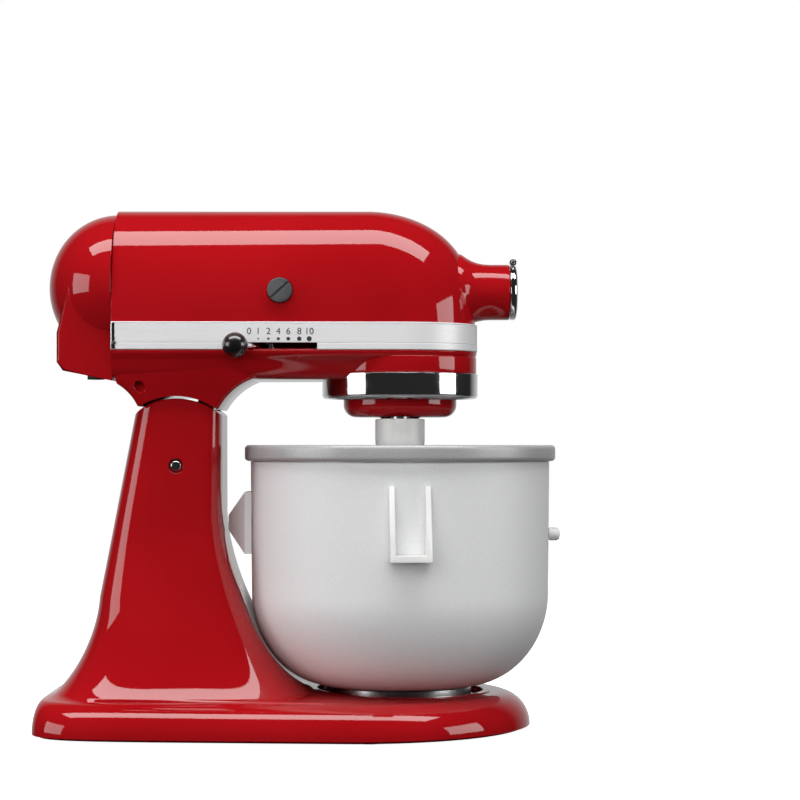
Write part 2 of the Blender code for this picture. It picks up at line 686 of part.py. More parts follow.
def make_rear_cover(head):
    joint = HEAD_REAR - TOUCH
    deep = COVER_REAR + HEAD_REAR
    rows = 6

    def dome(inset):
        rings = []
        for k in range(rows):
            angle = math.radians(84 * k / (rows - 1))
            x = joint - (deep - inset) * math.sin(angle)
            wide = (HEAD_HALF_REAR - 1.4 * MM - inset) * math.cos(angle)
            rise = (HEAD_TOP - COVER_MIDDLE - 2.5 * MM - inset) * math.cos(angle)
            fall = (COVER_DROP - inset) * math.cos(angle)
            ring = []
            for i in range(28):
                a = 2 * math.pi * i / 28
                tall = rise if a < math.pi else fall
                ring.append((x, wide * math.cos(a), COVER_MIDDLE + tall * math.sin(a)))
            rings.append(ring)
        return loft(rings)

    def bulge(inset):
        half = BULGE_HALF - inset
        back = joint - BULGE_DEPTH + inset
        low = CASE_BOTTOM - 1 * MM + inset
        outline = [(joint, COVER_MIDDLE), (back + 4 * MM, COVER_MIDDLE), (back, 268 * MM),
                   (back, 250 * MM + inset), (back + 2.5 * MM, 246.5 * MM + inset), (joint, low)]
        edge = 8 * MM
        rings = []
        for y, pull in ((-half, 1.0), (-half + edge * 0.35, 0.35), (-half + edge, 0.0),
                        (half - edge, 0.0), (half - edge * 0.35, 0.35), (half, 1.0)):
            rings.append([(x + (edge * pull if x < joint - 1 * MM else 0.0), y,
                           z + (edge * 0.4 * pull if z < 260 * MM else 0.0)) for x, z in outline])
        return loft(rings)

    cover = make("rear_cover", dome(0.0), "enamel", head)
    join(cover, bulge(0.0))
    for hollow in (dome(COVER_WALL), bulge(COVER_WALL)):
        bmesh.ops.translate(hollow, vec=(1 * MM, 0, 0), verts=hollow.verts)
        cut(cover, hollow)
    cut(cover, disc(2.6 * MM, -50 * MM, 50 * MM, 12, "X", (joint - 40 * MM, 0, COVER_SCREW_Z)))
    cut(cover, disc(GLAND_RADIUS + TOUCH, 220 * MM, 262 * MM, 16, centre=(GLAND_X, GLAND_Y, 0)))


def band_rows(inset):
    return [head_outline(BAND_LOW, inset=inset), head_outline(BAND_LOW + BAND_HEIGHT, inset=inset)]


def make_trim(head):
    rows = band_rows(0.0) + band_rows(BAND_WALL)[::-1]
    shape = bmesh.new()
    grid = [[shape.verts.new(point) for point in row] for row in rows]
    for one, two in zip(grid, grid[1:] + grid[:1]):
        for i in range(len(one) - 1):
            shape.faces.new((one[i], one[i + 1], two[i + 1], two[i]))
    shape.faces.new([row[0] for row in grid])
    shape.faces.new([row[-1] for row in grid])
    band = make("trim_band", shape, "band", head)
    cut(band, slot_cutter(240 * MM, BAND_LOW + SLOT_HEIGHT))
    lens = [(0, 0), (1.5 * MM, 0), (1.2 * MM, 1 * MM), (0, 1.3 * MM)]
    place = (HEAD_REAR + 2.4 * MM, -HEAD_HALF_REAR - TOUCH, BAND_LOW + 4.5 * MM)
    make("trim_band_screw", turned(lens, 10, "-Y", place), "steel", head)


def make_drip_ring(head):
    edge = 2.5 * MM
    inside = DRIP_RADIUS - DRIP_WALL
    profile = [(DRIP_RADIUS - edge, DRIP_LOW), (DRIP_RADIUS - edge * 0.3, DRIP_LOW + edge * 0.3),
               (DRIP_RADIUS, DRIP_LOW + edge), (DRIP_RADIUS, DRIP_TOP), (inside, DRIP_TOP),
               (inside, DRIP_LOW + edge), (DRIP_RADIUS - 2 * edge, DRIP_LOW + edge * 0.6)]
    make("drip_ring", turned(profile, 40, ring=True), "chrome", head)


# ---------------------------------------------------------------- head fittings

def make_brushes(head):
    """On each side a carbon brush on the commutator, under a slotted cap in the housing."""
    wall = HEAD_HALF_REAR - 2 * MM
    face = wall + 1.2 * MM
    stem = BRUSH_CAP_RADIUS - 2 * MM
    foot = wall - 14 * MM
    profile = [(0, foot), (stem, foot), (stem, wall - 6 * MM), (BRUSH_CAP_RADIUS, wall - 6 * MM),
               (BRUSH_CAP_RADIUS, face - 0.8 * MM), (BRUSH_CAP_RADIUS - 0.8 * MM, face), (0, face)]
    for side, sign, tag in (("-Y", -1, "near"), ("Y", 1, "far")):
        centre = (BRUSH_X, 0, ARMATURE_Z)
        cap = make(f"brush_cap_{tag}", turned(profile, 24, side, centre), "slate", head)
        blade = box((-0.8 * MM, -9 * MM, face - 1.4 * MM), (0.8 * MM, 9 * MM, face + 5 * MM))
        cut(cap, turn_to(spun_about_z(blade, math.radians(-48)), side, centre))
        reach = sorted((sign * (COMMUTATOR_RADIUS + TOUCH), sign * (foot - TOUCH)))
        half = 3 * MM
        brush = box((BRUSH_X - half, reach[0], ARMATURE_Z - half),
                    (BRUSH_X + half, reach[1], ARMATURE_Z + half))
        make(f"carbon_brush_{tag}", brush, "carbon", head)


def make_motor_fittings(head):
    centre = (0, 0, ARMATURE_Z)
    for x, tag in ((FRONT_BEARING_X, "front"), (REAR_BEARING_X, "rear")):
        bearing = tube(SHAFT_RADIUS + RUNNING, BEARING_RADIUS, x - BEARING_HALF, x + BEARING_HALF, 20,
                       "X", centre)
        make(f"{tag}_armature_bearing", bearing, "bronze", head)
    field = tube(ARMATURE_RADIUS + AIR_GAP, FIELD_RADIUS, FIELD_X - FIELD_HALF, FIELD_X + FIELD_HALF, 28,
                 "X", centre)
    make("motor_field", field, "iron", head)
    back = REAR_BEARING_X - 14 * MM
    plate = box((back, -30 * MM, 262 * MM), (back + 3 * MM, 30 * MM, 326 * MM))
    board = make("speed_control_plate", plate, "slate", head)
    cut(board, disc(SHAFT_RADIUS + 4 * MM, back - 10 * MM, back + 10 * MM, 16, "X", centre))


def make_rear_fittings(head):
    back = HEAD_REAR - TOUCH - BULGE_DEPTH
    shank = 2.3 * MM
    profile = [(0, 12 * MM), (shank, 12 * MM), (shank, -TOUCH), (4.2 * MM, -TOUCH),
               (3.6 * MM, -1.8 * MM), (0, -2.2 * MM)]
    make("rear_cover_screw", turned(profile, 12, "X", (back, 0, COVER_SCREW_Z)), "steel", head)
    gland = tube(GLAND_RADIUS - 2.6 * MM, GLAND_RADIUS, 238.5 * MM, 252 * MM, 16,
                 centre=(GLAND_X, GLAND_Y, 0))
    make("cord_gland", gland, "rubber", head)
    hinge = (HUB_HINGE_X, 0, HUB_HINGE_Z)
    make("hub_hinge_pin", disc(HUB_PIN_RADIUS, -9 * MM, 9 * MM, 10, "Y", hinge), "steel", head)


def make_hub_cover(flap):
    low = HUB_REACH + TOUCH
    profile = [(0, low), (HUB_RADIUS - 0.6 * MM, low), (HUB_RADIUS, low + 1 * MM),
               (HUB_RADIUS - 1 * MM, low + 4 * MM), (HUB_RADIUS - 6 * MM, low + 5.2 * MM),
               (0, low + 5.8 * MM)]
    cover = make("hub_cover", turned(profile, 28, "X", (0, 0, HUB_Z)), "chrome", flap)
    place = (HUB_HINGE_X, 0, HUB_HINGE_Z)
    join(cover, disc(2.4 * MM, -5 * MM, 5 * MM, 14, "Y", place))
    cut(cover, disc(HUB_PIN_RADIUS + TOUCH, -30 * MM, 30 * MM, 12, "Y", place))


def make_hub_knob(knob):
    """Fluted knob whose screw runs through the hub's wall and holds an attachment's shank."""
    start = HUB_RADIUS + 1 * MM
    grip = 10.5 * MM
    shank, tip = HUB_SCREW_RADIUS, HUB_BORE - 4 * MM
    profile = [(0, tip), (shank, tip), (shank, start), (grip - 1.5 * MM, start),
               (grip, start + 2 * MM), (grip, start + 13 * MM), (grip - 2 * MM, start + 15.5 * MM),
               (0, start + 16 * MM)]
    body = make("attachment_knob", turned(profile, 24, "Y", (HUB_SCREW_X, 0, HUB_Z)), "black", knob)
    flutes = 8
    circle = grip + 1.5 * MM
    for k in range(flutes):
        angle = 2 * math.pi * k / flutes
        centre = (HUB_SCREW_X + circle * math.cos(angle), 0, HUB_Z + circle * math.sin(angle))
        cut(body, disc(2.6 * MM, start - 2 * MM, start + 14 * MM, 8, "Y", centre))


def make_speed_lever(lever):
    near = -(HEAD_HALF_REAR + 9 * MM)
    z = BAND_LOW + 2.4 * MM
    x = SLOT_REAR - 4.1 * MM
    inside = (SLOT_REAR + 17 * MM, -42 * MM, z)
    knob_place = Vector((x, near, z))
    direction = (Vector(inside) - knob_place).normalized()
    side = Vector((0, 0, 1)).cross(direction).normalized()
    up = direction.cross(side)
    rod_radius = 1.6 * MM

    def rod_ring(distance):
        centre = knob_place + direction * distance
        return [centre + (side * math.cos(a) + up * math.sin(a)) * rod_radius
                for a in (2 * math.pi * i / 12 for i in range(12))]

    start = KNOB_RADIUS + TOUCH
    end = (Vector(inside) - knob_place).length
    arm = make("speed_lever", loft([rod_ring(start), rod_ring(end)]), "chrome", lever)
    join(arm, box((inside[0] - 3 * MM, inside[1] - 2 * MM, z - 3 * MM),
                  (inside[0] + 3 * MM, inside[1] + 4 * MM, z + 12 * MM)))
    ball = bmesh.new()
    bmesh.ops.create_uvsphere(ball, u_segments=20, v_segments=12, radius=KNOB_RADIUS)
    bmesh.ops.translate(ball, vec=knob_place, verts=ball.verts)
    make("speed_knob", ball, "black", lever)


def make_lock_lever(lever):
    low = (LOCK_X - 3 * MM, 32 * MM, LOCK_Z - 2 * MM)
    high = (LOCK_X + 3 * MM, NECK_HALF + 14 * MM, LOCK_Z + 2 * MM)
    make("lock_lever", box(low, high), "chrome", lever)
    profile = [(0, 0), (4 * MM, 0), (6 * MM, 2.5 * MM), (6 * MM, 6 * MM), (4 * MM, 8.5 * MM), (0, 9 * MM)]
    make("lock_knob", turned(profile, 18, "Y", (LOCK_X, high[1] + TOUCH, LOCK_Z)), "black", lever)


# ---------------------------------------------------------------- gears and motor

def spur_profile(teeth, pitch_radius, phase=0.0, inside=False, share=0.34, addendum=0.85):
    """Tooth outline as (radius, angle) corners: each tooth is a trapezoid with room to run."""
    tall = addendum * TOOTH_MODULE
    deep = (addendum + 0.35) * TOOTH_MODULE
    tip, root = pitch_radius + tall, pitch_radius - deep
    if inside:
        tip, root = pitch_radius - tall, pitch_radius + deep
    pitch = 2 * math.pi / teeth
    points = []
    for tooth in range(teeth):
        middle = phase + tooth * pitch
        wide, narrow = pitch * share * 0.66, pitch * share * 0.34
        for radius, offset in ((root, -wide), (tip, -narrow), (tip, narrow), (root, wide)):
            points.append((radius * math.cos(middle + offset), radius * math.sin(middle + offset)))
    return points


def gear_prism(profile, low, high, centre=(0.0, 0.0), twist=0.0):
    """Extrude a toothed outline upward. A twist leans the teeth."""
    rings = []
    for z, turn in ((low, -twist / 2), (high, twist / 2)):
        c, s = math.cos(turn), math.sin(turn)
        rings.append([(centre[0] + x * c - y * s, centre[1] + x * s + y * c, z) for x, y in profile])
    return loft(rings)


def upright_place():
    """Where the upright shaft stands: its pinion meets the centre gear, its wheel meets the worm."""
    reach = (CENTRE_TEETH + IDLER_TEETH) * TOOTH_MODULE / 2
    across = WHEEL_TEETH * WORM_PITCH / (2 * math.pi) + WORM_RADIUS
    return -math.sqrt(reach * reach - across * across), across


def make_ring_gear(head):
    gear = make("ring_gear", disc(RING_OUTSIDE, RING_LOW, RING_HIGH, 44), "iron", head)
    cut(gear, gear_prism(spur_profile(RING_TEETH, RING_RADIUS, inside=True), RING_LOW - 5 * MM,
                         RING_HIGH + 5 * MM))


def make_planetary(planet):
    edge = 8 * MM
    corner = [(PLANET_RADIUS - edge + edge * math.sin(a), PLANET_LOW + edge - edge * math.cos(a))
              for a in (math.radians(30 * k) for k in range(4))]
    bore, seat = SHAFT_RADIUS + TOUCH, PLANET_LOW + 6 * MM
    profile = [(SPIGOT_RADIUS + TOUCH, PLANET_LOW - 1 * MM), (13 * MM, PLANET_LOW - 1 * MM),
               (14 * MM, PLANET_LOW), *corner, (PLANET_RADIUS, PLANET_TOP), (SLEEVE_RADIUS, PLANET_TOP),
               (SLEEVE_RADIUS, RING_HIGH), (bore, RING_HIGH), (bore, seat), (SPIGOT_RADIUS + TOUCH, seat)]
    hub = make("planetary_hub", turned(profile, 30, ring=True), "enamel", planet)
    cut(hub, disc(BEATER_RADIUS + RUNNING, 200 * MM, 240 * MM, 20, centre=(0, -PLANET_OFFSET, 0)))
    pin_bore = disc(PLANET_PIN_RADIUS + TOUCH, -20 * MM, 20 * MM, 10, "X", (0, 0, PLANET_PIN_Z))
    cut(hub, pin_bore.copy())
    reach = SLEEVE_RADIUS - 0.4 * MM
    pin = disc(PLANET_PIN_RADIUS, -reach, reach, 10, "X", (0, 0, PLANET_PIN_Z))
    make("planetary_pin", pin, "steel", planet)
    top = HUB_Z - BEVEL_HUB_TEETH * BEVEL_MODULE / 2 + 1.5 * MM
    shaft = make("center_shaft", disc(SHAFT_RADIUS, seat + 0.4 * MM, top, 20), "steel", planet)
    cut(shaft, pin_bore)
    radius = CENTRE_TEETH * TOOTH_MODULE / 2
    gear = make("center_gear", gear_prism(spur_profile(CENTRE_TEETH, radius), GEAR_LOW, GEAR_HIGH),
                "steel", planet)
    cut(gear, disc(bore, 200 * MM, 300 * MM, 20))
    bevel = make("center_bevel_gear", bevel_gear(BEVEL_CENTRE_TEETH, BEVEL_HUB_TEETH), "steel", planet)
    cut(bevel, disc(bore, 200 * MM, 320 * MM, 20))
    make_coupler(planet)


def bevel_gear(teeth, mate_teeth, phase=0.0):
    """A bevel gear below its cone's tip, which lies at the hub's height on the bowl axis."""
    radius = teeth * BEVEL_MODULE / 2
    drop = mate_teeth * BEVEL_MODULE / 2
    profile = spur_profile(teeth, radius, phase, share=0.30, addendum=0.6)
    rings = []
    for scale in (1.0, 0.72):
        rings.append([(x * scale, y * scale, HUB_Z - drop * scale) for x, y in profile])
    return loft(rings)


def make_coupler(planet):
    """White drive coupler: it covers the beater shaft and turns the dasher about the bowl axis."""
    top = PLANET_LOW - 1 * MM - TOUCH
    far = PLANET_OFFSET
    end_radius = COLLAR_RADIUS - 2 * MM
    mouth = COLLAR_RADIUS - 4 * MM
    roof = COLLAR_LOW + 11 * MM
    count = 12

    def stadium(radius, end, z):
        near = [(radius * math.cos(a), radius * math.sin(a), z)
                for a in (math.pi * i / count for i in range(count + 1))]
        rest = [(end * math.cos(a), -far + end * math.sin(a), z)
                for a in (math.pi + math.pi * i / count for i in range(count + 1))]
        return near + rest

    body = loft([stadium(COLLAR_RADIUS - 2 * MM, end_radius - 1.5 * MM, COLLAR_LOW),
                 stadium(COLLAR_RADIUS, end_radius, COLLAR_LOW + 10 * MM),
                 stadium(COLLAR_RADIUS, end_radius, top)])
    coupler = make("drive_coupler", body, "white", planet)
    join(coupler, disc(SPIGOT_RADIUS, top - 3 * MM, top + 5 * MM, 20))
    hollow = [(0, COLLAR_LOW - 5 * MM), (mouth, COLLAR_LOW - 5 * MM), (mouth, COLLAR_LOW + 2 * MM),
              (mouth - 0.5 * MM, roof), (0, roof)]
    cut(coupler, turned(hollow, 20))
    for side in (-1, 1):
        dog = box((6.6 * MM, -1.6 * MM, COLLAR_LOW + 2.5 * MM), (mouth + 0.5 * MM, 1.6 * MM, roof + 1 * MM))
        join(coupler, spun_about_z(dog, math.radians(90 + 90 * side + 45)))
    cut(coupler, disc(end_radius - 3.4 * MM, COLLAR_LOW + 5 * MM, top + 20 * MM, 20, centre=(0, -far, 0)))


def make_beater(beater):
    """The beater shaft with its cross pin, and the pinion that rolls round inside the ring gear."""
    centre = (0, -PLANET_OFFSET, 0)
    neck = BEATER_RADIUS - 2 * MM
    shoulder, end = PLANET_TOP + 0.5 * MM, RING_HIGH - 0.1 * MM
    profile = [(0, BEATER_LOW), (BEATER_RADIUS - 1 * MM, BEATER_LOW), (BEATER_RADIUS, BEATER_LOW + 1 * MM),
               (BEATER_RADIUS, shoulder), (neck, shoulder), (neck, end), (0, end)]
    shaft = make("beater_shaft", turned(profile, 20, centre=centre), "steel", beater)
    pin_centre = (0, -PLANET_OFFSET, BEATER_PIN_Z)
    cut(shaft, disc(BEATER_PIN_RADIUS + TOUCH, -20 * MM, 20 * MM, 10, "X", pin_centre))
    reach = BEATER_RADIUS + 3.5 * MM
    make("beater_pin", disc(BEATER_PIN_RADIUS, -reach, reach, 10, "X", pin_centre), "steel", beater)
    phase = meshing_phase(-math.pi / 2, -math.pi / 2, RING_TEETH, PINION_TEETH)
    profile = spur_profile(PINION_TEETH, PINION_TEETH * TOOTH_MODULE / 2, phase)
    shape = gear_prism(profile, RING_LOW + TOUCH, RING_HIGH - TOUCH, centre[:2])
    pinion = make("beater_pinion", shape, "steel", beater)
    cut(pinion, disc(neck + TOUCH, 200 * MM, 260 * MM, 16, centre=centre))


def meshing_phase(direction, facing, mate_teeth, teeth):
    """Phase that puts a gap of this gear opposite a tooth of its mate, whose first tooth is at angle 0."""
    gap = (direction / (2 * math.pi / mate_teeth)) % 1.0
    return facing + (0.5 + gap) * (2 * math.pi / teeth)


def make_upright(upright):
    """The shaft between worm and centre gear: its pinion below, the worm wheel above."""
    x, y = upright_place()
    centre = (x, y, 0)
    direction = math.atan2(y, x)
    phase = meshing_phase(direction, direction + math.pi, CENTRE_TEETH, IDLER_TEETH)
    shaft_radius = SHAFT_RADIUS - 1 * MM
    profile = spur_profile(IDLER_TEETH, IDLER_TEETH * TOOTH_MODULE / 2, phase)
    shaft = make("pinion_shaft", gear_prism(profile, GEAR_LOW - 0.5 * MM, GEAR_HIGH + 0.5 * MM, (x, y)),
                 "steel", upright)
    join(shaft, disc(shaft_radius, CASE_BOTTOM + 7 * MM, ARMATURE_Z + 12.5 * MM, 16, centre=centre))
    wheel_radius = WHEEL_TEETH * WORM_PITCH / (2 * math.pi)
    face = 6 * MM
    shape = gear_prism(worm_wheel_profile(wheel_radius), ARMATURE_Z - face / 2, ARMATURE_Z + face / 2,
                       (x, y), worm_lean(face) / wheel_radius)
    wheel = make("worm_wheel", shape, "bronze", upright)
    cut(wheel, disc(shaft_radius + TOUCH, 200 * MM, 340 * MM, 16, centre=centre))


def worm_lean(face):
    """How far the worm's thread moves along across the wheel's face."""
    swing = 2 * math.asin(face / 2 / WORM_RADIUS)
    return WORM_STARTS * WORM_PITCH * swing / (2 * math.pi)


def worm_wheel_profile(radius):
    """Tooth outline of the worm wheel. The offsets are shares of the pitch."""
    pitch = 2 * math.pi / WHEEL_TEETH
    root, tip, wide, narrow = radius - 1.6 * MM, radius + 1 * MM, 0.19, 0.09
    points = []
    for tooth in range(WHEEL_TEETH):
        middle = -math.pi / 2 + (tooth + 0.5) * pitch
        for reach, offset in ((root, -wide), (tip, -narrow), (tip, narrow), (root, wide)):
            angle = middle + offset * pitch
            points.append((reach * math.cos(angle), reach * math.sin(angle)))
    return points


def make_armature(armature):
    centre = (0, 0, ARMATURE_Z)
    worm_x = upright_place()[0]
    root = WORM_RADIUS - 1.6 * MM
    rear_end, shoulder = REAR_BEARING_X - 6 * MM, FRONT_BEARING_X + 5 * MM
    worm_end = worm_x + 15 * MM
    profile = [(0, rear_end), (SHAFT_RADIUS, rear_end), (SHAFT_RADIUS, shoulder),
               (root, shoulder + 1 * MM), (root, worm_end), (0, worm_end)]
    shaft = make("armature_shaft", turned(profile, 20, "X", centre), "steel", armature)
    for start in range(WORM_STARTS):
        join(shaft, worm_thread(worm_x, math.pi * 2 * start / WORM_STARTS))
    core = make("armature_core", disc(ARMATURE_RADIUS, FIELD_X - CORE_HALF, FIELD_X + CORE_HALF, 24, "X",
                                      centre), "copper", armature)
    drum = make("commutator", disc(COMMUTATOR_RADIUS, BRUSH_X - 8 * MM, BRUSH_X + 7 * MM, 20, "X", centre),
                "copper", armature)
    fan = make_fan(armature, centre)
    for piece in (core, drum, fan):
        cut(piece, disc(SHAFT_RADIUS + TOUCH, HEAD_REAR, 0.0, 20, "X", centre))


def make_fan(armature, centre):
    rear, front, blades = BRUSH_X + 8 * MM, BRUSH_X + 14.5 * MM, 8
    fan = make("cooling_fan", disc(10 * MM, rear, front, 20, "X", centre), "slate", armature)
    for k in range(blades):
        blade = box((rear + 0.5 * MM, -0.8 * MM, 8 * MM), (front - 1 * MM, 0.8 * MM, 25 * MM))
        bmesh.ops.rotate(blade, cent=(0, 0, 0), matrix=Matrix.Rotation(2 * math.pi * k / blades, 3, "X"),
                         verts=blade.verts)
        bmesh.ops.translate(blade, vec=centre, verts=blade.verts)
        join(fan, blade)
    return fan


def worm_thread(middle, phase):
    """One thread of the worm as a helical ridge whose tooth section is a trapezoid."""
    lead = WORM_STARTS * WORM_PITCH
    turns = 2.2
    steps = int(12 * turns)
    low, high = WORM_RADIUS - 2.0 * MM, WORM_RADIUS + 0.9 * MM
    wide, narrow = 1.05 * MM, 0.5 * MM
    rings = []
    for i in range(steps + 1):
        along = (i / steps - 0.5) * turns
        angle = 2 * math.pi * along + phase + math.pi / 2
        x = middle + lead * along
        ring = []
        for radius, offset in ((low, -wide), (high, -narrow), (high, narrow), (low, wide)):
            ring.append((x + offset, radius * math.sin(angle), ARMATURE_Z - radius * math.cos(angle)))
        rings.append(ring)
    return loft(rings)


def make_hub_drive(hub):
    """The bevel gear that turns an attachment, with its square socket."""
    shape = bevel_gear(BEVEL_HUB_TEETH, BEVEL_CENTRE_TEETH, math.pi / BEVEL_HUB_TEETH)
    bmesh.ops.translate(shape, vec=(0, 0, -HUB_Z), verts=shape.verts)
    turn_to(shape, "-X", (0, 0, HUB_Z))
    gear = make("hub_bevel_gear", shape, "steel", hub)
    reach = BEVEL_CENTRE_TEETH * BEVEL_MODULE / 2
    join(gear, disc(9 * MM, reach - 1 * MM, reach + 22 * MM, 20, "X", (0, 0, HUB_Z)))
    half = SOCKET_HALF
    cut(gear, box((reach + 4 * MM, -half, HUB_Z - half), (reach + 40 * MM, half, HUB_Z + half)))


# ---------------------------------------------------------------- freeze bowl and dasher

def bowl_curve(radius, low, bend, steps=6, foot=0.0):
    """Quarter ellipse from the foot of the bowl up to where its wall stands straight."""
    points = []
    for i in range(steps + 1):
        angle = math.radians(90 * i / steps)
        points.append((foot + (radius - foot) * math.sin(angle), bend - (bend - low) * math.cos(angle)))
    return points


def make_bowl(bowl):
    """Double-walled bowl: an outer shell and a liner that meet only at the rim that sits on both."""
    count = 32
    top = RIM_LOW - TOUCH
    foot = BOWL_FOOT_EDGE
    narrow = BOWL_RADIUS - 0.8 * MM
    outer = bowl_curve(narrow, BOWL_LOW, BOWL_BEND, foot=foot)
    inner = bowl_curve(narrow - BOWL_WALL, BOWL_LOW + BOWL_WALL, BOWL_BEND, foot=foot)
    profile = [(0, BOWL_LOW), *outer, (BOWL_RADIUS, top), (BOWL_RADIUS - BOWL_WALL, top),
               *reversed(inner), (0, BOWL_LOW + BOWL_WALL)]
    make("bowl_shell", turned(profile, count), "bowl", bowl)
    narrow = LINER_RADIUS - LINER_DRAFT
    inside = bowl_curve(narrow, LINER_LOW, LINER_BEND, 5)
    outside = bowl_curve(narrow + BOWL_WALL, LINER_LOW - BOWL_WALL, LINER_BEND, 5)
    profile = [*outside, (LINER_RADIUS + BOWL_WALL, top), (LINER_RADIUS, top), *reversed(inside)]
    make("bowl_liner", turned(profile, count), "bowl", bowl)
    edge = 1.5 * MM
    profile = [(RIM_RADIUS - edge, RIM_LOW), (RIM_RADIUS, RIM_LOW + edge), (RIM_RADIUS, RIM_TOP - edge),
               (RIM_RADIUS - edge, RIM_TOP), (LINER_RADIUS + edge, RIM_TOP), (LINER_RADIUS, RIM_TOP - edge),
               (LINER_RADIUS, RIM_LOW)]
    make("bowl_rim", turned(profile, count, ring=True), "steel", bowl)


def make_bowl_foot(bowl):
    """Foot ring with three lugs that pass down the clamp plate's notches and turn under its lip."""
    low = PLATE_FLOOR + 2.5 * MM
    ring = tube(FOOT_RING - 7 * MM, FOOT_RING, low, BOWL_LOW - TOUCH, 40)
    foot_ring = make("bowl_foot", ring, "steel", bowl)
    for turn in range(3):
        lug = box((FOOT_RING - 3 * MM, -6 * MM, low), (FOOT_RING + 2.2 * MM, 6 * MM, LIP_LOW - RUNNING))
        join(foot_ring, spun_about_z(lug, math.radians(120 * turn + NOTCH_ANGLE - BOWL_TWIST)))


def make_side_brackets(bowl):
    wall = BOWL_RADIUS + TOUCH
    wide, rib, low, high = 13.5 * MM, 3.5 * MM, 118 * MM, 166 * MM
    back = wall - 8 * MM
    lean = 3.5
    for side, tag in ((-1, "near"), (1, "far")):
        outline = [(back, low), (BRACKET_REACH, low), (BRACKET_REACH, low + 4 * MM), (wall + 1.5 * MM, high),
                   (back, high)]
        turn = math.radians(side * (90 - lean))
        shape = spun_about_z(side_prism(outline, wide), turn)
        bracket = make(f"side_bracket_{tag}", shape, "bowl", bowl)
        pocket = box((0, -wide + rib, low + 4 * MM), (BRACKET_REACH + 50 * MM, wide - rib, high + 5 * MM))
        cut(bracket, spun_about_z(pocket, turn))
        cut(bracket, disc(wall, low - 10 * MM, high + 10 * MM, 32))


def make_end_fittings(bowl):
    """The diamond-shaped bracket behind the bowl and the stud in front of it."""
    wall = BOWL_RADIUS + TOUCH
    middle, tall = 140 * MM, 21 * MM
    rings = []
    for reach, rise, half in ((wall - 8 * MM, tall, 20 * MM), (wall + 3 * MM, tall, 18 * MM),
                              (REAR_BRACKET_REACH, 5 * MM, 5 * MM)):
        rings.append([(-reach, -half, middle - rise), (-reach, half, middle - rise),
                      (-reach, half, middle + rise), (-reach, -half, middle + rise)])
    rear = make("rear_bracket", loft(rings), "bowl", bowl)
    cut(rear, disc(wall, 100 * MM, 180 * MM, 32))
    radius, reach = 4.5 * MM, STUD_REACH - wall
    shoulder, tip = reach - 2.5 * MM, reach - 0.8 * MM
    profile = [(0, -8 * MM), (radius, -8 * MM), (radius, shoulder), (radius - 1 * MM, tip), (0, reach)]
    stud = make("front_stud", turned(profile, 16, "X", (wall, 0, 132 * MM)), "white", bowl)
    cut(stud, disc(wall, 100 * MM, 180 * MM, 32))


def make_dasher(dasher):
    """Flat two-windowed paddle on a hub whose crossed fins stand between the coupler's dogs."""
    low = LINER_LOW + 1 * MM
    edge = LINER_RADIUS - LINER_DRAFT - DASHER_GAP
    inner_edge = edge - DASHER_FRAME
    neck = 12 * MM
    curve = bowl_curve(edge, low, LINER_BEND, 6)
    right = [*curve[1:], (edge, DASHER_TOP), (edge - 11 * MM, DASHER_TOP), (neck, DASHER_TOP - 8 * MM)]
    left = [(-x, z) for x, z in reversed(right)]
    frame = make("dasher", side_prism([(0, low), *right, *left], DASHER_HALF), "white", dasher)
    inner = bowl_curve(inner_edge, low + DASHER_FRAME, LINER_BEND, 4, foot=16 * MM)
    window = [*inner, (inner_edge, DASHER_TOP - 12 * MM), (16 * MM, DASHER_TOP - 20 * MM)]
    for side in (-1, 1):
        cut(frame, side_prism([(side * x, z) for x, z in window], 10 * MM))
    hub_top = COLLAR_LOW - 4 * MM
    join(frame, disc(9 * MM, low + 0.1 * MM, hub_top, 20))
    join(frame, disc(5.5 * MM, hub_top - 2 * MM, COLLAR_LOW + 9 * MM, 16))
    for k in range(2):
        fin = box((-10 * MM, -1.5 * MM, hub_top - 2 * MM), (10 * MM, 1.5 * MM, COLLAR_LOW + 8 * MM))
        join(frame, spun_about_z(fin, math.radians(90 * k)))


# ---------------------------------------------------------------- assembly

def build():
    clear_scene()
    fixed = pivot("assembly")
    fixed.location = (BOWL_X, 0, 0)
    head = pivot("head_tilt_axis", (HINGE_X, 0, HINGE_Z), fixed)
    planet = pivot("planetary_axis", (0, 0, PLANET_LOW), head)
    beater = pivot("beater_axis", (0, -PLANET_OFFSET, PLANET_LOW), planet)
    upright = pivot("upright_shaft_axis", (*upright_place(), GEAR_LOW), head)
    armature = pivot("armature_axis", (0, 0, ARMATURE_Z), head)
    hub = pivot("hub_drive_axis", (0, 0, HUB_Z), head)
    flap = pivot("hub_cover_axis", (HUB_HINGE_X, 0, HUB_HINGE_Z), head)
    knob = pivot("attachment_knob_axis", (HUB_SCREW_X, 0, HUB_Z), head)
    speed = pivot("speed_lever_slide", (SLOT_REAR, -HEAD_HALF_REAR, BAND_LOW), head)
    lock = pivot("lock_lever_slide", (LOCK_X, NECK_HALF, LOCK_Z), head)
    bowl = pivot("bowl_axis", (0, 0, BOWL_LOW), fixed)
    dasher = pivot("dasher_axis", (0, 0, LINER_LOW), fixed)
    make_pedestal(fixed)
    make_base_fittings(fixed)
    make_upper_housing(head)
    make_lower_gearcase(head)
    make_rear_cover(head)
    make_trim(head)
    make_drip_ring(head)
    make_brushes(head)
    make_motor_fittings(head)
    make_rear_fittings(head)
    make_ring_gear(head)
    make_planetary(planet)
    make_beater(beater)
    make_upright(upright)
    make_armature(armature)
    make_hub_drive(hub)
    make_hub_cover(flap)
    make_hub_knob(knob)
    make_speed_lever(speed)
    make_lock_lever(lock)
    make_bowl(bowl)
    make_bowl_foot(bowl)
    make_side_brackets(bowl)
    make_end_fittings(bowl)
    make_dasher(dasher)


build()
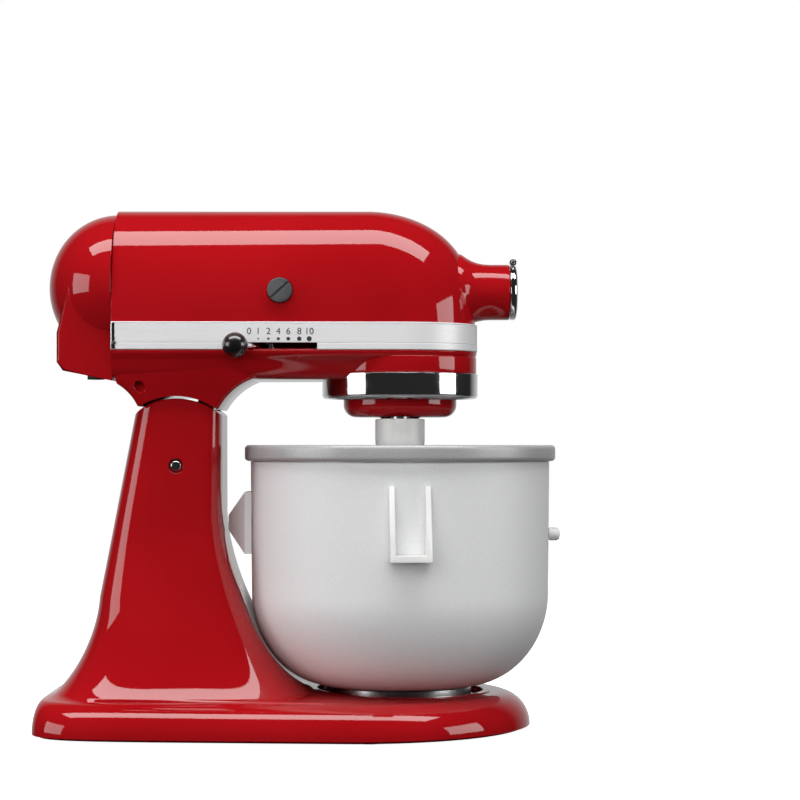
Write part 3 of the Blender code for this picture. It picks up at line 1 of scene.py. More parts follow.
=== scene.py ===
"""Looks of the tilt-head mixer with its freeze bowl: finer shells, finishes, light and camera."""
import json
import math

import bmesh
import bpy
from mathutils import Matrix, Vector


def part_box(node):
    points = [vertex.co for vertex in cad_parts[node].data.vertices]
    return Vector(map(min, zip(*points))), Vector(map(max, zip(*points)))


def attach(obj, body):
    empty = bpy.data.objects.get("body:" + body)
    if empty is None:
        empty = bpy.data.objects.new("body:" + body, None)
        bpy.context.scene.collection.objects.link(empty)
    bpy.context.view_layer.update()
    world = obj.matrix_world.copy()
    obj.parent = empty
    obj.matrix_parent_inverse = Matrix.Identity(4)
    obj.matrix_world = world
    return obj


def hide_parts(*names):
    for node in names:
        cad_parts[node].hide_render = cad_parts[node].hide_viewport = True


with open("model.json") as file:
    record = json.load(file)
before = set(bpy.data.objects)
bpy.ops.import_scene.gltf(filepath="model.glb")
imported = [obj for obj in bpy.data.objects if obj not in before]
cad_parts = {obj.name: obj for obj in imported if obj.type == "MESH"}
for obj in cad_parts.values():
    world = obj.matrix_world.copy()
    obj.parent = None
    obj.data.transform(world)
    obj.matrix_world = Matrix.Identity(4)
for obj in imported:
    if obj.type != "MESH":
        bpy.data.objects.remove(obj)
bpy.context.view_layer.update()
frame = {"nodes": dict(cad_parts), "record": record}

MM = 0.001
NODES = frame["nodes"]


def middle_x(node):
    low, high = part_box(node)
    return (low.x + high.x) / 2


# Everything below is laid out from the bowl axis, as the CAD is
AXIS = Vector((middle_x("bowl_rim"), 0.0, 0.0))

TOUCH = 0.3 * MM
SWING = 1.5 * MM
BASE_FRONT = 89 * MM
BASE_REAR = 244 * MM
BASE_MIDDLE = 30 * MM
BASE_HALF = 115 * MM
BASE_DECK = 27 * MM
CAST_WALL = 4 * MM
FOOT_HEIGHT = 2.75 * MM
FOOT_RADIUS = 11 * MM
FOOT_TOP = 6 * MM
COLUMN_HALF = 42 * MM
COLUMN_STRAIGHT = 147 * MM
SWEEP_LOW = 20 * MM
SWEEP_FRONT = 41 * MM
SWEEP_SIDE = 52 * MM
SWEEP_POWER = 1.6
SCOOP_GAP = 6 * MM
BOWL_RADIUS = 102.3 * MM
BOWL_WALL = 2 * MM
BOWL_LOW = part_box("bowl_shell")[0].z
BOWL_FOOT_EDGE = 46 * MM
BOWL_BEND = 92 * MM
RIM_RADIUS = 106.4 * MM
RIM_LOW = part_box("bowl_rim")[0].z
RIM_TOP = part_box("bowl_rim")[1].z
LINER_RADIUS = 88 * MM
LINER_LOW = 42 * MM
FOOT_RING = 48.8 * MM
PLATE_RADIUS = 53.2 * MM
PLATE_SCREW_HOLE = 2.3 * MM
RECESS_RADIUS = 57 * MM
RECESS_FLOOR = 14 * MM
NOTCH_ANGLE = 45
COLUMN_FRONT = 120.2 * MM
HINGE_X = -150 * MM
HINGE_Z = 179 * MM
PIN_RADIUS = 4.6 * MM
CROWN_RADIUS = 45.2 * MM
HEAD_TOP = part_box("upper_housing")[1].z
HEAD_HALF_FRONT = 53 * MM
HEAD_HALF_REAR = 57 * MM
HEAD_REAR = -192 * MM
HEAD_WALL = 3.5 * MM
BAND_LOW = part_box("trim_band")[0].z
BAND_HEIGHT = 18.5 * MM
BAND_WALL = 1.2 * MM
SEAM = 258 * MM
HOUSING_INSET = BAND_WALL + TOUCH
DOME_FOOT = 270 * MM
SECTION_POWER = 2.3
RIDGE_SETBACK = 22 * MM
NOSE_POWER = 2.7
CASE_BOTTOM = 237 * MM
NECK_HALF = 42 * MM
NECK_REAR_CENTRE = (HINGE_X - 55.5 * MM, 205.7 * MM)
NECK_REAR_RADIUS = 32.5 * MM
NECK_FRONT_CENTRE = (HINGE_X + 66.7 * MM, 196.5 * MM)
NECK_FRONT_RADIUS = 43.5 * MM
NECK_TOP = 249 * MM
POCKET_MOUTH = (-168.0 * MM, -58 * MM, 219 * MM)
POCKET_END = (-178.6 * MM, -38 * MM, 243 * MM)
POCKET_RADIUS = 3.4 * MM
LUG_HALF = 23 * MM
HUB_Z = 297.7 * MM
HUB_RADIUS = 19 * MM
HUB_REACH = 74.9 * MM
HUB_BORE = 12.5 * MM
COVER_REAR = 239.7 * MM
COVER_WALL = 3 * MM
COVER_MIDDLE = 300 * MM
COVER_DROP = 50.5 * MM
BULGE_DEPTH = 32.8 * MM
BULGE_HALF = 44 * MM
COVER_SCREW_Z = 259 * MM
COVER_SCREW_HOLE = 2.6 * MM
GLAND_RADIUS = 6 * MM
GLAND_X = -211.5 * MM
GLAND_Y = 22 * MM
HUB_SCREW_X = 64 * MM
HUB_SCREW_HOLE = 3.5 * MM
SLOT_REAR = -104.8 * MM
SLOT_FRONT = -55 * MM
SLOT_HEIGHT = 4.6 * MM
LEVER_SLANT = 10 * MM
LOCK_TRAVEL = 22 * MM
LOCK_X = -118 * MM
LOCK_Z = 243 * MM
LOCK_MARGIN = 5 * MM
SHAFT_RADIUS = 5 * MM
ARMATURE_Z = 296 * MM
BRUSH_X = -80 * MM
BRUSH_CAP_RADIUS = 8.25 * MM
DRIP_RADIUS = 53.25 * MM
DRIP_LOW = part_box("drip_ring")[0].z
DRIP_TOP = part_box("drip_ring")[1].z
DRIP_WALL = 2 * MM
RING_HIGH = 234.5 * MM
PLANET_RADIUS = 38.7 * MM
PLANET_LOW = 212 * MM
PLANET_TOP = 224 * MM
PLANET_OFFSET = 26 * MM
COLLAR_RADIUS = 17 * MM
COLLAR_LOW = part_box("drive_coupler")[0].z


# ---------------------------------------------------------------- materials

# The part of a noise's range that carries a colour or a roughness from one end to the other
COLOUR_SPAN = (0.35, 0.65)
ROUGHNESS_SPAN = (0.3, 0.7)


class Paint:
    """A material whose shader is built node by node."""

    def __init__(self, name, colour, roughness, metallic=0.0):
        self.material = bpy.data.materials.new(name)
        self.material.use_nodes = True
        self.tree = self.material.node_tree
        self.shader = self.tree.nodes["Principled BSDF"]
        self.set("Base Color", (*colour, 1.0))
        self.set("Roughness", roughness)
        self.set("Metallic", metallic)
        self.places = self.tree.nodes.new("ShaderNodeTexCoord").outputs["Object"]

    def set(self, socket, value):
        self.shader.inputs[socket].default_value = value

    def link(self, one, two):
        self.tree.links.new(one, two)

    def node(self, kind, **values):
        made = self.tree.nodes.new(kind)
        for key, value in values.items():
            if key in made.inputs:
                made.inputs[key].default_value = value
            else:
                setattr(made, key, value)
        return made

    def stretched(self, scale):
        """Object coordinates, scaled differently along each axis."""
        mapping = self.node("ShaderNodeMapping")
        mapping.inputs["Scale"].default_value = scale
        self.link(self.places, mapping.inputs["Vector"])
        return mapping.outputs["Vector"]

    def noise(self, scale, detail=3.0, stretch=None, rough=0.5):
        made = self.node("ShaderNodeTexNoise")
        made.inputs["Scale"].default_value = scale
        made.inputs["Detail"].default_value = detail
        made.inputs["Roughness"].default_value = rough
        self.link(self.stretched(stretch) if stretch else self.places, made.inputs["Vector"])
        return made.outputs["Fac"]

    def vary_colour(self, factor, low, high):
        ramp = self.node("ShaderNodeValToRGB")
        for element, place, colour in zip(ramp.color_ramp.elements, COLOUR_SPAN, (low, high)):
            element.position = place
            element.color = (*colour, 1.0)
        self.link(factor, ramp.inputs["Fac"])
        self.link(ramp.outputs["Color"], self.shader.inputs["Base Color"])

    def vary_roughness(self, factor, low, high):
        made = self.node("ShaderNodeMapRange")
        made.inputs["From Min"].default_value = ROUGHNESS_SPAN[0]
        made.inputs["From Max"].default_value = ROUGHNESS_SPAN[1]
        made.inputs["To Min"].default_value = low
        made.inputs["To Max"].default_value = high
        self.link(factor, made.inputs["Value"])
        self.link(made.outputs["Result"], self.shader.inputs["Roughness"])

    def bump(self, factor, strength, distance, rounding=0.0, coat=False):
        """Fine relief. Rounding softens the sharp edges that the light catches."""
        made = self.node("ShaderNodeBump")
        made.inputs["Strength"].default_value = strength
        made.inputs["Distance"].default_value = distance
        self.link(factor, made.inputs["Height"])
        if rounding:
            edge = self.node("ShaderNodeBevel", samples=4)
            edge.inputs["Radius"].default_value = rounding
            self.link(edge.outputs["Normal"], made.inputs["Normal"])
        self.link(made.outputs["Normal"], self.shader.inputs["Normal"])
        if coat:
            self.link(made.outputs["Normal"], self.shader.inputs["Coat Normal"])


def enamel():
    """Deep red glaze under a clear gloss, with the faint orange peel of a baked finish."""
    paint = Paint("enamel_red", (0.36, 0.0045, 0.0075), 0.42)
    paint.vary_colour(paint.noise(9.0, 2.0), (0.34, 0.0038, 0.0062), (0.39, 0.0050, 0.0084))
    paint.set("Specular IOR Level", 0.0)
    paint.set("Coat Weight", 1.0)
    paint.set("Coat Roughness", 0.035)
    paint.set("Coat IOR", 1.5)
    paint.vary_roughness(paint.noise(60.0, 4.0), 0.36, 0.48)
    paint.bump(paint.noise(420.0, 2.0), 0.10, 0.05 * MM, rounding=0.9 * MM, coat=True)
    return paint.material


def chrome():
    paint = Paint("chrome_bright", (0.86, 0.86, 0.87), 0.05, 1.0)
    paint.vary_colour(paint.noise(30.0, 3.0), (0.82, 0.82, 0.83), (0.90, 0.90, 0.91))
    paint.vary_roughness(paint.noise(140.0, 6.0), 0.03, 0.10)
    paint.bump(paint.noise(900.0, 2.0), 0.04, 0.02 * MM, rounding=0.5 * MM)
    return paint.material


def brushed_band():
    """Satin aluminium, brushed along the machine."""
    paint = Paint("band_satin", (0.86, 0.86, 0.87), 0.42, 0.2)
    grain = paint.noise(1.0, 8.0, (60.0, 60.0, 9000.0), 0.7)
    paint.vary_colour(grain, (0.80, 0.80, 0.81), (0.92, 0.92, 0.93))
    paint.vary_roughness(grain, 0.34, 0.52)
    paint.bump(grain, 0.12, 0.02 * MM, rounding=0.25 * MM)
    return paint.material


def steel():
    paint = Paint("steel_machined", (0.56, 0.56, 0.57), 0.3, 1.0)
    grain = paint.noise(1.0, 6.0, (900.0, 900.0, 7000.0), 0.6)
    paint.vary_colour(grain, (0.48, 0.48, 0.49), (0.64, 0.64, 0.65))
    paint.vary_roughness(grain, 0.22, 0.40)
    paint.bump(grain, 0.15, 0.02 * MM, rounding=0.3 * MM)
    return paint.material


def satin_grey(name, dark, light, roughness, metallic):
    """Lacquered metal with a fine speckle, as on the bowl and its rim."""
    paint = Paint(name, light, roughness, metallic)
    paint.vary_colour(paint.noise(1500.0, 2.0), dark, light)
    paint.vary_roughness(paint.noise(45.0, 5.0), roughness - 0.05, roughness + 0.06)
    paint.bump(paint.noise(1300.0, 3.0), 0.10, 0.03 * MM, rounding=0.5 * MM)
    return paint.material


def liner():
    """Spun aluminium: fine rings about the bowl axis."""
    paint = Paint("liner_spun", (0.74, 0.75, 0.76), 0.32, 1.0)
    rings = paint.noise(1.0, 8.0, (120.0, 120.0, 5200.0), 0.7)
    paint.vary_colour(rings, (0.66, 0.67, 0.68), (0.80, 0.81, 0.82))
    paint.vary_roughness(rings, 0.24, 0.42)
    paint.bump(rings, 0.2, 0.03 * MM)
    return paint.material


def moulded(name, dark, light, roughness, coat=0.0, grain=700.0, relief=0.15):
    """Moulded plastic with a fine texture."""
    paint = Paint(name, light, roughness)
    paint.vary_colour(paint.noise(35.0, 3.0), dark, light)
    paint.vary_roughness(paint.noise(220.0, 5.0), roughness * 0.85, roughness * 1.2)
    paint.set("Coat Weight", coat)
    paint.set("Coat Roughness", 0.03)
    paint.bump(paint.noise(grain, 3.0), relief, 0.03 * MM, rounding=0.5 * MM, coat=coat > 0)
    return paint.material


def rubber():
    paint = Paint("rubber_feet", (0.03, 0.03, 0.03), 0.85)
    paint.vary_colour(paint.noise(120.0, 4.0), (0.018, 0.018, 0.019), (0.045, 0.045, 0.046))
    paint.vary_roughness(paint.noise(300.0, 3.0), 0.72, 0.95)
    paint.bump(paint.noise(1100.0, 4.0), 0.5, 0.05 * MM)
    return paint.material


def laminated_iron():
    """Stacked sheets, seen as fine lines across the field."""
    paint = Paint("iron_sheets", (0.2, 0.2, 0.21), 0.5, 0.8)
    sheets = paint.noise(1.0, 2.0, (2600.0, 25.0, 25.0))
    paint.vary_colour(sheets, (0.12, 0.12, 0.13), (0.30, 0.30, 0.31))
    paint.vary_roughness(paint.noise(90.0, 4.0), 0.4, 0.65)
    paint.bump(sheets, 0.6, 0.1 * MM)
    return paint.material


def wound_copper():
    """Lacquered wire wound along the armature."""
    paint = Paint("copper_wound", (0.7, 0.3, 0.14), 0.3, 0.9)
    wires = paint.noise(1.0, 1.0, (20.0, 2200.0, 2200.0))
    paint.vary_colour(wires, (0.38, 0.13, 0.05), (0.80, 0.38, 0.20))
    paint.vary_roughness(paint.noise(150.0, 3.0), 0.22, 0.42)
    paint.bump(wires, 0.8, 0.15 * MM)
    return paint.material


def bronze(name="bronze_plain", dark=(0.42, 0.26, 0.09), light=(0.62, 0.42, 0.18)):
    paint = Paint(name, light, 0.35, 1.0)
    paint.vary_colour(paint.noise(160.0, 4.0), dark, light)
    paint.vary_roughness(paint.noise(300.0, 5.0), 0.25, 0.48)
    paint.bump(paint.noise(800.0, 3.0), 0.2, 0.03 * MM, rounding=0.3 * MM)
    return paint.material


def ink():
    paint = Paint("dial_ink", (0.03, 0.03, 0.032), 0.55)
    paint.vary_colour(paint.noise(900.0, 2.0), (0.022, 0.022, 0.024), (0.05, 0.05, 0.052))
    paint.bump(paint.noise(2500.0, 2.0), 0.1, 0.01 * MM)
    return paint.material


ENAMEL = enamel()
CHROME = chrome()
BAND = brushed_band()
STEEL = steel()
BOWL_GREY = satin_grey("bowl_grey", (0.80, 0.805, 0.81), (0.87, 0.875, 0.88), 0.45, 0.0)
RIM_GREY = satin_grey("rim_grey", (0.42, 0.42, 0.425), (0.52, 0.52, 0.525), 0.40, 0.25)
LINER = liner()
WHITE = moulded("white_plastic", (0.80, 0.80, 0.79), (0.88, 0.88, 0.87), 0.38)
BLACK = moulded("black_gloss", (0.004, 0.004, 0.005), (0.010, 0.010, 0.011), 0.30, 1.0, 300.0, 0.03)
SLATE = moulded("slate_plastic", (0.055, 0.06, 0.065), (0.10, 0.105, 0.11), 0.42, 0.0, 900.0, 0.3)
RUBBER = rubber()
IRON = laminated_iron()
COPPER = wound_copper()
BRONZE = bronze()
BRASS = bronze("brass_bright", (0.70, 0.48, 0.18), (0.90, 0.70, 0.34))
CARBON = moulded("carbon_block", (0.02, 0.02, 0.02), (0.07, 0.07, 0.07), 0.6, 0.0, 500.0, 0.5)
INK = ink()

FINISH = {
    "enamel": ENAMEL, "chrome": CHROME, "steel": STEEL, "band": BAND, "bowl_grey": BOWL_GREY,
    "bowl_liner": LINER, "rim_grey": RIM_GREY, "white_plastic": WHITE, "black_plastic": BLACK,
    "slate_plastic": SLATE, "rubber": RUBBER, "iron": IRON, "copper": COPPER, "bronze": BRONZE,
}


# ---------------------------------------------------------------- building blocks

def mesh_object(name, shape):
    bmesh.ops.remove_doubles(shape, verts=shape.verts, dist=1e-6)
    bmesh.ops.dissolve_degenerate(shape, edges=shape.edges, dist=1e-7)
    bmesh.ops.recalc_face_normals(shape, faces=shape.faces)
    mesh = bpy.data.meshes.new(name)
    shape.to_mesh(mesh)
    shape.free()
    piece = bpy.data.objects.new(name, mesh)
    piece.location = AXIS
    bpy.context.scene.collection.objects.link(piece)
    return piece


def combine(piece, shape, operation):
    helper = mesh_object(f"{piece.name}_helper", shape)
    step = piece.modifiers.new(helper.name, "BOOLEAN")
    step.operation = operation
    step.object = helper
    step.solver = "EXACT"


def join(piece, *shapes):
    for shape in shapes:
        combine(piece, shape, "UNION")


def cut(piece, *shapes):
    for shape in shapes:
        combine(piece, shape, "DIFFERENCE")


def finished(piece, body, material, replaces=(), angle=35):
    """Apply the helpers, smooth what is round, give the finish, and let the piece ride on its body."""
    helpers = [step.object for step in piece.modifiers if step.type == "BOOLEAN"]
    bpy.context.view_layer.update()
    shown = piece.evaluated_get(bpy.context.evaluated_depsgraph_get())
    mesh = bpy.data.meshes.new_from_object(shown)
    piece.modifiers.clear()
    piece.data = mesh
    for helper in helpers:
        bpy.data.objects.remove(helper, do_unlink=True)
    shape = bmesh.new()
    shape.from_mesh(mesh)
    bmesh.ops.remove_doubles(shape, verts=shape.verts, dist=2e-6)
    bmesh.ops.dissolve_degenerate(shape, edges=shape.edges, dist=1e-6)
    shape.to_mesh(mesh)
    shape.free()
    mesh.materials.clear()
    mesh.materials.append(material)
    mesh.shade_smooth()
    mesh.set_sharp_from_angle(angle=math.radians(angle))
    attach(piece, body)
    if replaces:
        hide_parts(*replaces)
    return piece


def loft(rings, caps=True):
    shape = bmesh.new()
    grid = [[shape.verts.new(point) for point in ring] for ring in rings]
    count = len(grid[0])
    for low, high in zip(grid, grid[1:]):
        for i in range(count):
            j = (i + 1) % count
            shape.faces.new((low[i], low[j], high[j], high[i]))
    if caps:
        shape.faces.new(grid[0])
        shape.faces.new(grid[-1])
    return shape


def closed_loft(rings):
    """A loft whose last ring meets its first, as round a hollow casting."""
    return loft([*rings, rings[0]], caps=False)


def turned(profile, count=96, axis="Z", centre=(0.0, 0.0, 0.0), ring=False):
    """Turn (radius, height) points about an axis. A ring profile closes on itself."""
    rings = []
    points = [*profile, profile[0]] if ring else profile
    shape = bmesh.new()
    for radius, height in points:
        if radius < 1e-9:
            rings.append([shape.verts.new((0, 0, height))] * count)
        else:
            rings.append([shape.verts.new((radius * math.cos(2 * math.pi * i / count),
                                           radius * math.sin(2 * math.pi * i / count), height))
                          for i in range(count)])
    for low, high in zip(rings, rings[1:]):
        for i in range(count):
            j = (i + 1) % count
            corners = []
            for vertex in (low[i], low[j], high[j], high[i]):
                if vertex not in corners:
                    corners.append(vertex)
            if len(corners) > 2:
                shape.faces.new(corners)
    return turn_to(shape, axis, centre)


def turn_to(shape, axis, centre):
    turns = {
        "Z": Matrix.Identity(4),
        "X": Matrix.Rotation(math.pi / 2, 4, "Y"),
        "-X": Matrix.Rotation(-math.pi / 2, 4, "Y"),
        "Y": Matrix.Rotation(-math.pi / 2, 4, "X"),
        "-Y": Matrix.Rotation(math.pi / 2, 4, "X"),
    }
    bmesh.ops.transform(shape, matrix=Matrix.Translation(centre) @ turns[axis], verts=shape.verts)
    return shape


def disc(radius, low, high, count=48, axis="Z", centre=(0.0, 0.0, 0.0)):
    return turned([(0, low), (radius, low), (radius, high), (0, high)], count, axis, centre)


def tube(inner, outer, low, high, count=64, axis="Z", centre=(0.0, 0.0, 0.0)):
    profile = [(inner, low), (outer, low), (outer, high), (inner, high)]
    return turned(profile, count, axis, centre, ring=True)


def rounded(profile, radius, steps=4, closed=False):
    """Round the corners of a (radius, height) profile."""
    made = []
    count = len(profile)
    for i, point in enumerate(profile):
        if not closed and i in (0, count - 1):
            made.append(point)
            continue
        here = Vector(point)
        before = Vector(profile[i - 1]) - here
        after = Vector(profile[(i + 1) % count]) - here
        reach = min(radius, before.length * 0.45, after.length * 0.45)
        one, two = here + before.normalized() * reach, here + after.normalized() * reach
        for k in range(steps + 1):
            t = k / steps
            made.append(tuple((1 - t) ** 2 * one + 2 * t * (1 - t) * here + t * t * two))
    return made


def box(low, high):
    shape = bmesh.new()
    bmesh.ops.create_cube(shape, size=1.0)
    size = Vector(high) - Vector(low)
    centre = (Vector(high) + Vector(low)) / 2
    bmesh.ops.transform(shape, matrix=Matrix.Translation(centre) @ Matrix.Diagonal((*size, 1.0)),
                        verts=shape.verts)
    return shape


def spun_about_z(shape, angle):
    bmesh.ops.rotate(shape, cent=(0, 0, 0), matrix=Matrix.Rotation(angle, 3, "Z"), verts=shape.verts)
    return shape


def rod(start, end, radius, count=32):
    """A round bar from one point to another."""
    start, end = Vector(start), Vector(end)
    shape = disc(radius, 0, (end - start).length, count)
    turn = (end - start).to_track_quat("Z", "Y").to_matrix().to_4x4()
    bmesh.ops.transform(shape, matrix=Matrix.Translation(start) @ turn, verts=shape.verts)
    return shape


def side_prism(outline, half):
    return loft([[(px, y, pz) for px, pz in outline] for y in (-half, half)])


def softened(shape, chosen, width, steps=5):
    """Round the edges that the test chooses by their two ends."""
    bmesh.ops.remove_doubles(shape, verts=shape.verts, dist=1e-6)
    edges = [edge for edge in shape.edges if chosen(edge.verts[0].co, edge.verts[1].co)]
    bmesh.ops.bevel(shape, geom=edges, offset=width, offset_type="OFFSET", segments=steps, profile=0.5,
                    affect="EDGES", clamp_overlap=False)
    return shape


def arc(centre, radius, start, end, steps):
    points = []
    for i in range(steps + 1):
        angle = math.radians(start + (end - start) * i / steps)
        points.append((centre[0] + radius * math.cos(angle), centre[1] + radius * math.sin(angle)))
    return points


def blend_steps(start, end, count):
    return [start + (end - start) * i / count for i in range(count + 1)]


# ---------------------------------------------------------------- pedestal

def plan_ring(z, front, rear, half, front_power=2.0, rear_power=8.0, taper=0.13, count=192,
              middle=-BASE_MIDDLE):
    points = []
    for i in range(count):
        angle = 2 * math.pi * i / count
        along, across = math.cos(angle), math.sin(angle)
        power = front_power if along >= 0 else rear_power
        u = abs(along) ** (2 / power)
        v = math.copysign(abs(across) ** (2 / power), across)
        if along >= 0:
            points.append((middle + (front - middle) * u, half * v, z))
        else:
            points.append((middle - (middle + rear) * u, half * v * (1 - taper * u), z))
    return points


def sweep(height):
    """How far the foot of the column has spread: 1 at the deck, 0 at the top of the curve."""
    height = min(height, 1.0)
    return 1 - (1 - (1 - height) ** SWEEP_POWER) ** (1 / SWEEP_POWER)


def column_rear(z):
    heel = 90 * MM
    spread = sweep((z - SWEEP_LOW) / (heel - SWEEP_LOW))
    return 203.7 * MM - 0.1924 * max(z - heel, 0.0) + 42 * MM * spread


def bowl_radius(z):
    if z <= BOWL_LOW:
        return FOOT_RING
    bent = min((BOWL_BEND - z) / (BOWL_BEND - BOWL_LOW), 1.0) if z < BOWL_BEND else 0.0
    return BOWL_FOOT_EDGE + (BOWL_RADIUS - BOWL_FOOT_EDGE) * math.sqrt(1 - bent * bent)


def scooped(ring, radius):
    """Keep a ring of points behind a round hollow about the bowl axis."""
    points = []
    for x, y, z in ring:
        if abs(y) < radius:
            x = min(x, -math.sqrt(radius * radius - y * y))
        points.append((x, y, z))
    return points


def casting_levels(inset=0.0, drop=0.0):
    rings = []
    edge_radius = 21 * MM
    edge_steps = 14
    for i in range(edge_steps + 1):
        angle = math.radians(90 * i / edge_steps)
        pull = edge_radius * (1 - math.cos(angle))
        z = FOOT_HEIGHT + (BASE_DECK - 2.2 * MM - FOOT_HEIGHT) * math.sin(angle)
        rings.append(plan_ring(z - drop, BASE_FRONT - pull - inset, BASE_REAR - pull * 0.35 - inset,
                               BASE_HALF - pull - inset))
    levels = [BASE_DECK + (COLUMN_STRAIGHT - BASE_DECK) * (i / 34) ** 1.8 for i in range(35)]
    for z in levels:
        near = sweep((z - SWEEP_LOW) / (COLUMN_STRAIGHT - SWEEP_LOW))
        front = -COLUMN_FRONT + (COLUMN_FRONT - SWEEP_FRONT) * near
        half = COLUMN_HALF + 3 * MM + SWEEP_SIDE * near
        rear = column_rear(z)
        middle = (front - rear) / 2
        ring = plan_ring(z - drop, front - inset, rear - inset, half - inset, 6.5 - 4.0 * near,
                         4.0, 0.05 * near, middle=middle)
        rings.append(scooped(ring, bowl_radius(z) + SCOOP_GAP + inset))
    top = HINGE_Z + CROWN_RADIUS + 8 * MM
    for z in blend_steps(COLUMN_STRAIGHT, top, 6)[1:]:
        share = (z - COLUMN_STRAIGHT) / (top - COLUMN_STRAIGHT)
        half = COLUMN_HALF + (3 - 4 * share) * MM
        rings.append(plan_ring(z - drop, -COLUMN_FRONT - inset, column_rear(z) - inset, half - inset,
                               6.5, 4.0, 0.0, middle=-(COLUMN_FRONT + column_rear(z)) / 2))
    return rings


def foot_places():
    return [(-215 * MM, -66 * MM), (-215 * MM, 66 * MM), (-20 * MM, -92 * MM), (-20 * MM, 92 * MM),
            (68 * MM, 0.0)]


def screw_places():
    angles = [math.radians(29 + 120 * turn) for turn in range(3)]
    return [(30 * MM * math.cos(a), 30 * MM * math.sin(a)) for a in angles]


def make_pedestal():
    outer = casting_levels()
    inner = casting_levels(CAST_WALL, CAST_WALL)
    inner[0] = [(x, y, FOOT_HEIGHT) for x, y, _ in inner[0]]
    casting = mesh_object("pedestal_shell", closed_loft(outer + inner[::-1]))
    join(casting, disc(RECESS_RADIUS + 5 * MM, RECESS_FLOOR - CAST_WALL, BASE_DECK - 1.5 * MM, 96))
    for x, y in foot_places():
        join(casting, disc(FOOT_RADIUS, FOOT_TOP, BASE_DECK - 6 * MM, 32, centre=(x, y, 0)))
    cut(casting, disc(RECESS_RADIUS, RECESS_FLOOR, 90 * MM, 128))
    above = HINGE_Z + 80 * MM
    crown = arc((HINGE_X, HINGE_Z), CROWN_RADIUS, 150, 30, 72)
    reach = 60 * MM
    outline = [(HINGE_X - reach, crown[0][1]), *crown, (HINGE_X + reach, crown[-1][1]),
               (HINGE_X + reach, above), (HINGE_X - reach, above)]
    cut(casting, side_prism(outline, 70 * MM))
    cut(casting, disc(PIN_RADIUS + TOUCH, -70 * MM, 70 * MM, 40, "Y", (HINGE_X, 0, HINGE_Z)))
    for x, y in screw_places():
        cut(casting, disc(PLATE_SCREW_HOLE, 0, BASE_DECK, 20, centre=(x, y, 0)))
    finished(casting, "base", ENAMEL, ["pedestal"])


def make_clamp_plate():
    floor = RECESS_FLOOR + TOUCH
    lip_in = FOOT_RING + 1.2 * MM
    wall_in = PLATE_RADIUS - 1.3 * MM
    profile = rounded([(0, floor), (PLATE_RADIUS, floor), (PLATE_RADIUS, 22 * MM), (lip_in, 22 * MM),
                       (lip_in, 20.6 * MM), (wall_in, 20.6 * MM), (wall_in, 16 * MM), (0, 16 * MM)],
                      0.5 * MM, 3)
    plate = mesh_object("bowl_clamp_plate_ring", turned(profile, 128))
    for turn in range(3):
        gap = box((FOOT_RING - 3 * MM, -14 * MM, 18 * MM), (PLATE_RADIUS - 1.3 * MM, 14 * MM, 30 * MM))
        cut(plate, spun_about_z(gap, math.radians(120 * turn + NOTCH_ANGLE)))
    for x, y in screw_places():
        cut(plate, disc(PLATE_SCREW_HOLE, 0, BASE_DECK, 20, centre=(x, y, 0)))
    finished(plate, "base", CHROME, ["bowl_clamp_plate"])


def make_hinge_pin():
    half = COLUMN_HALF + 1.6 * MM
    end = [(0, -half), (PIN_RADIUS - 1.6 * MM, -half), (PIN_RADIUS, -half + 2 * MM)]
    profile = rounded([*end, *[(r, -h) for r, h in reversed(end)]], 0.5 * MM, 3)
    pin = mesh_object("hinge_pin_turned", turned(profile, 64, "Y", (HINGE_X, 0, HINGE_Z)))
    finished(pin, "base", CHROME, ["hinge_pin"])


# ---------------------------------------------------------------- head shells

def head_outline(z, squeeze=1.0, nose_squeeze=1.0, inset=0.0, setback=0.0):
    sides, nose = 14, 72
    start = -setback
    front = HEAD_HALF_FRONT - inset
    wide = max(front * squeeze, 0.0)
    rear_wide = max((HEAD_HALF_REAR - inset) * squeeze, 0.0)
    near = []
    for i in range(sides):
        t = i / sides
        near.append((HEAD_REAR + (start - HEAD_REAR) * t, -(rear_wide + (wide - rear_wide) * t), z))
    tip = []
    for k in range(nose + 1):
        angle = -math.pi / 2 + math.pi * k / nose
        reach = (front + setback) * nose_squeeze
        tip.append((start + reach * math.cos(angle), wide * math.sin(angle), z))
    far = [(x, -y, zz) for x, y, zz in reversed(near)]
    return near + tip + far


def channel(outer, inner):
    """A shell that is open at its rim and at the rear. Each skin runs from the rim to a ridge."""
    shape = bmesh.new()
    skins = []
    for rows in (outer, inner):
        grid = [[shape.verts.new(point) for point in row] for row in rows]
        for one, two in zip(grid, grid[1:]):
            for i in range(len(one) - 1):
                shape.faces.new((one[i], one[i + 1], two[i + 1], two[i]))
        skins.append(grid)
    outer_grid, inner_grid = skins
    for i in range(len(outer_grid[0]) - 1):
        shape.faces.new((outer_grid[0][i], outer_grid[0][i + 1], inner_grid[0][i + 1], inner_grid[0][i]))
    rear = [row[0] for row in outer_grid] + [row[-1] for row in outer_grid[-2::-1]]
    rear += [row[-1] for row in inner_grid] + [row[0] for row in inner_grid[-2::-1]]
    shape.faces.new(rear)
    return shape


def housing_rows(inset):
    low = SEAM
    rows = [head_outline(z, inset=inset + HOUSING_INSET) for z in (low, low + 6 * MM)]
    steps = 40
    rise = HEAD_TOP - DOME_FOOT - inset
    for k in range(steps + 1):
        angle = math.radians(90 * k / steps)
        squeeze = max(math.cos(angle), 0.0) ** (2 / SECTION_POWER) if k < steps else 0.0
        lift = math.sin(angle) ** (2 / SECTION_POWER)
        nose = math.sqrt(max(1 - lift ** NOSE_POWER, 0.0)) if k < steps else 0.0
        rows.append(head_outline(DOME_FOOT + rise * lift, squeeze, nose, inset + HOUSING_INSET,
                                 RIDGE_SETBACK * lift))
    return rows


